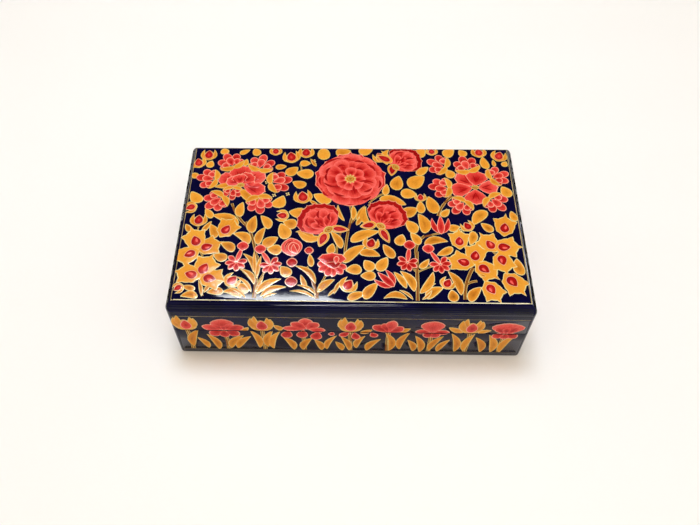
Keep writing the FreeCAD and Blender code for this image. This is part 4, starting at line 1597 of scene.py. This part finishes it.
@dataclass
class Hinges:
    """The two brass butt hinges at the back: leaves and pins as built, and domed heads on the nails."""

    nodes: dict[str, bpy.types.Object]
    segments: int = 24

    def build(self, form: BoxForm) -> None:
        """Give the leaves and pins their brass, and set a domed head over every nail."""
        brass = Brass().material()
        for name, node in self.nodes.items():
            if "hinge" in name and "nails" not in name:
                node.data.materials.clear()
                node.data.materials.append(brass)
        for name in [name for name in self.nodes if name.endswith("nails")]:
            body = "base" if "base" in name else "lid"
            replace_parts(finish_mesh(name.replace("nails", "heads"), self.heads(name, form), [brass], body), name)

    def heads(self, name: str, form: BoxForm) -> bmesh.types.BMesh:
        """Turn the domed heads of one leaf's two nails.

        Args:
            name: the frame's node that holds the nails.
            form: the box's sizes; not used.

        Returns:
            The mesh of both heads.
        """
        low, high = (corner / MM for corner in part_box(name))
        radius = (high.z - low.z) / 2
        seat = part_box(name.replace("nails", "leaf"))[0].y / MM + 0.9
        crown = high.y - seat
        bm = bmesh.new()
        for x in (low.x + radius, high.x - radius):
            profile = [bm.verts.new((x + radius * math.cos(math.radians(angle)),
                                     seat + crown * math.sin(math.radians(angle)), (low.z + high.z) / 2))
                       for angle in (0, 18, 36, 54, 72, 90)]
            edges = [bm.edges.new(pair) for pair in zip(profile, profile[1:])]
            bmesh.ops.spin(bm, geom=profile + edges, cent=(x, 0, (low.z + high.z) / 2), axis=(0, 1, 0),
                           angle=2 * math.pi, steps=self.segments, use_merge=True)
        bmesh.ops.remove_doubles(bm, verts=bm.verts, dist=0.001)
        bmesh.ops.holes_fill(bm, edges=[edge for edge in bm.edges if edge.is_boundary], sides=self.segments)
        bmesh.ops.scale(bm, vec=(MM, MM, MM), verts=bm.verts)
        bmesh.ops.recalc_face_normals(bm, faces=bm.faces)
        for face in bm.faces:
            face.smooth = len(face.verts) <= 4
        return bm


# The studio

@dataclass(frozen=True)
class Lamp:
    """A soft rectangular lamp; it hangs at a place, in metres, and looks at a point of the table."""

    name: str
    place: tuple[float, float, float]
    aim: tuple[float, float, float]
    width: float
    height: float
    radiance: float
    colour: Colour
    mirrored: bool = True
    shining: bool = True

    def hang(self) -> None:
        """Put the lamp into the scene."""
        data = bpy.data.lights.new(self.name, "AREA")
        data.shape = "RECTANGLE"
        data.size = self.width
        data.size_y = self.height
        data.energy = self.radiance * math.pi * self.width * self.height
        data.color = self.colour
        lamp = bpy.data.objects.new(self.name, data)
        lamp.location = self.place
        lamp.rotation_euler = (Vector(self.place) - Vector(self.aim)).to_track_quat("Z", "Y").to_euler()
        lamp.visible_glossy = self.mirrored
        lamp.visible_diffuse = self.shining
        bpy.context.scene.collection.objects.link(lamp)


@dataclass
class Studio:
    """The pale table, the soft lamps, the dim room and the camera at the photograph's viewing angle."""

    floor_colour: Colour = (0.97, 0.95, 0.925)
    floor_half: float = 6.0
    plain_reach: Point = (0.45, 1.30)
    backdrop: Colour = (0.98, 0.965, 0.94)
    lens: float = 35.99
    elevation: float = 0.9686
    azimuth: float = -0.0444
    roll: float = -0.0265
    distance: float = 0.3884
    target: tuple[float, float, float] = (-0.01308, -0.0288, 0.05199)
    shift: Point = (0.0332, -0.0025)
    lamps: tuple[Lamp, ...] = (
        Lamp("sky_lamp", (-0.04, 0.22, 1.2), (0.0, 0.0, 0.03), 0.44, 0.34, 16.0,
             (0.68, 0.84, 1.0), mirrored=False),
        Lamp("ceiling_lamp", (0.0, 0.05, 1.3), (0.0, 0.05, 0.0), 1.7, 1.7, 1.12,
             (1.0, 0.87, 0.72), mirrored=False),
        Lamp("window_lamp", (-0.165, 0.388, 1.1495), (-0.165, 0.0, 0.05), 0.25, 0.41, 105.0,
             (0.94, 0.97, 1.0), shining=False),
        Lamp("front_lamp", (0.44, -0.48, 1.17), (0.44, -0.05, 0.05), 0.28, 0.68, 122.0,
             (1.0, 0.98, 0.96), shining=False),
        Lamp("front_fill", (0.0, -1.2, 0.38), (0.0, -0.06, 0.03), 0.9, 0.4, 1.7,
             (1.0, 0.84, 0.62), mirrored=False),
    )
    walls: Colour = (0.86, 0.72, 0.555)
    dusk: Colour = (0.030, 0.030, 0.036)

    def build(self) -> None:
        """Set the stage, the lamps, the room and the camera."""
        self.table()
        for lamp in self.lamps:
            lamp.hang()
        self.room()
        self.camera()
        bpy.context.scene.view_settings.view_transform = "Standard"

    def table(self) -> None:
        """Lay a plain pale table under the box."""
        bm = bmesh.new()
        bmesh.ops.create_grid(bm, x_segments=1, y_segments=1, size=self.floor_half)
        mesh = bpy.data.meshes.new("table")
        bm.to_mesh(mesh)
        bm.free()
        material, graph = new_graph("table_paper")
        place = graph.object_place()
        grain = graph.noise(place, 700.0, 2.0)
        length = graph.node("ShaderNodeVectorMath", {"operation": "LENGTH"}, {0: place}).outputs[1]
        far = Value(graph, length).within(*self.plain_reach) * graph.seen()
        paper = graph.mix(grain, self.floor_colour, tuple(0.985 * part for part in self.floor_colour))
        graph.surface({
            "Base Color": graph.mix(far, paper, (0.0, 0.0, 0.0)),
            "Roughness": 0.75,
            "IOR": 1.3,
            "Emission Color": graph.mix(far, (0.0, 0.0, 0.0), self.backdrop),
            "Emission Strength": 1.0,
        })
        mesh.materials.append(material)
        table = bpy.data.objects.new("table", mesh)
        bpy.context.scene.collection.objects.link(table)

    def room(self) -> None:
        """Light the room from its pale walls on the left and right, with the table's backdrop low down."""
        world = bpy.data.worlds.new("room")
        bpy.context.scene.world = world
        graph = Graph(world)
        way = graph.node("ShaderNodeTexCoord").outputs["Generated"]
        parts = graph.node("ShaderNodeSeparateXYZ", {}, {0: way}).outputs
        across, height = Value(graph, parts[0]), Value(graph, parts[2])
        open_room = graph.mix(across.math("ABSOLUTE").within(0.30, 0.80), self.dusk, self.walls)
        low = (1.0 - height.within(0.12, 0.30)) * graph.seen()
        light = graph.mix(low, open_room, self.backdrop)
        glow = graph.node("ShaderNodeBackground", {}, {"Color": light, "Strength": 1.0})
        graph.node("ShaderNodeOutputWorld", {}, {"Surface": glow.outputs[0]})

    def camera(self) -> None:
        """Set the camera where the photograph was taken from."""
        data = bpy.data.cameras.new("camera")
        data.sensor_width = 36.0
        data.lens = self.lens
        data.shift_x, data.shift_y = self.shift
        data.clip_start = 0.01
        data.clip_end = 50.0
        camera = bpy.data.objects.new("camera", data)
        lift, turn = self.elevation, self.azimuth
        level = math.cos(lift)
        ahead = Vector((math.sin(turn) * level, math.cos(turn) * level, -math.sin(lift)))
        right = Vector((math.cos(turn), -math.sin(turn), 0.0))
        up = right.cross(ahead)
        right, up = self.rolled(right, up)
        frame_matrix = Matrix((right, up, -ahead)).transposed().to_4x4()
        frame_matrix.translation = Vector(self.target) - ahead * self.distance
        camera.matrix_world = frame_matrix
        bpy.context.scene.collection.objects.link(camera)
        bpy.context.scene.camera = camera

    def rolled(self, right: Vector, up: Vector) -> tuple[Vector, Vector]:
        """Turn the camera's right and up directions by its roll."""
        cosine, sine = math.cos(self.roll), math.sin(self.roll)
        return cosine * right + sine * up, cosine * up - sine * right


def main() -> None:
    """Build the box's looks round the frame, one sub-assembly after another."""
    logging.basicConfig(level=logging.INFO, format="%(message)s")
    form = BoxForm()
    lacquer = Lacquer().material()
    LidShell(form).build(lacquer)
    BaseShell(form).build(lacquer)
    FloorLining(form).build()
    Hinges(frame["nodes"]).build(form)
    painter = Painter(form, seed=7)
    LidPainting(painter).paint()
    SidePainting(painter).paint()
    painter.pieces()
    Studio().build()


if __name__ == "__main__":
    main()
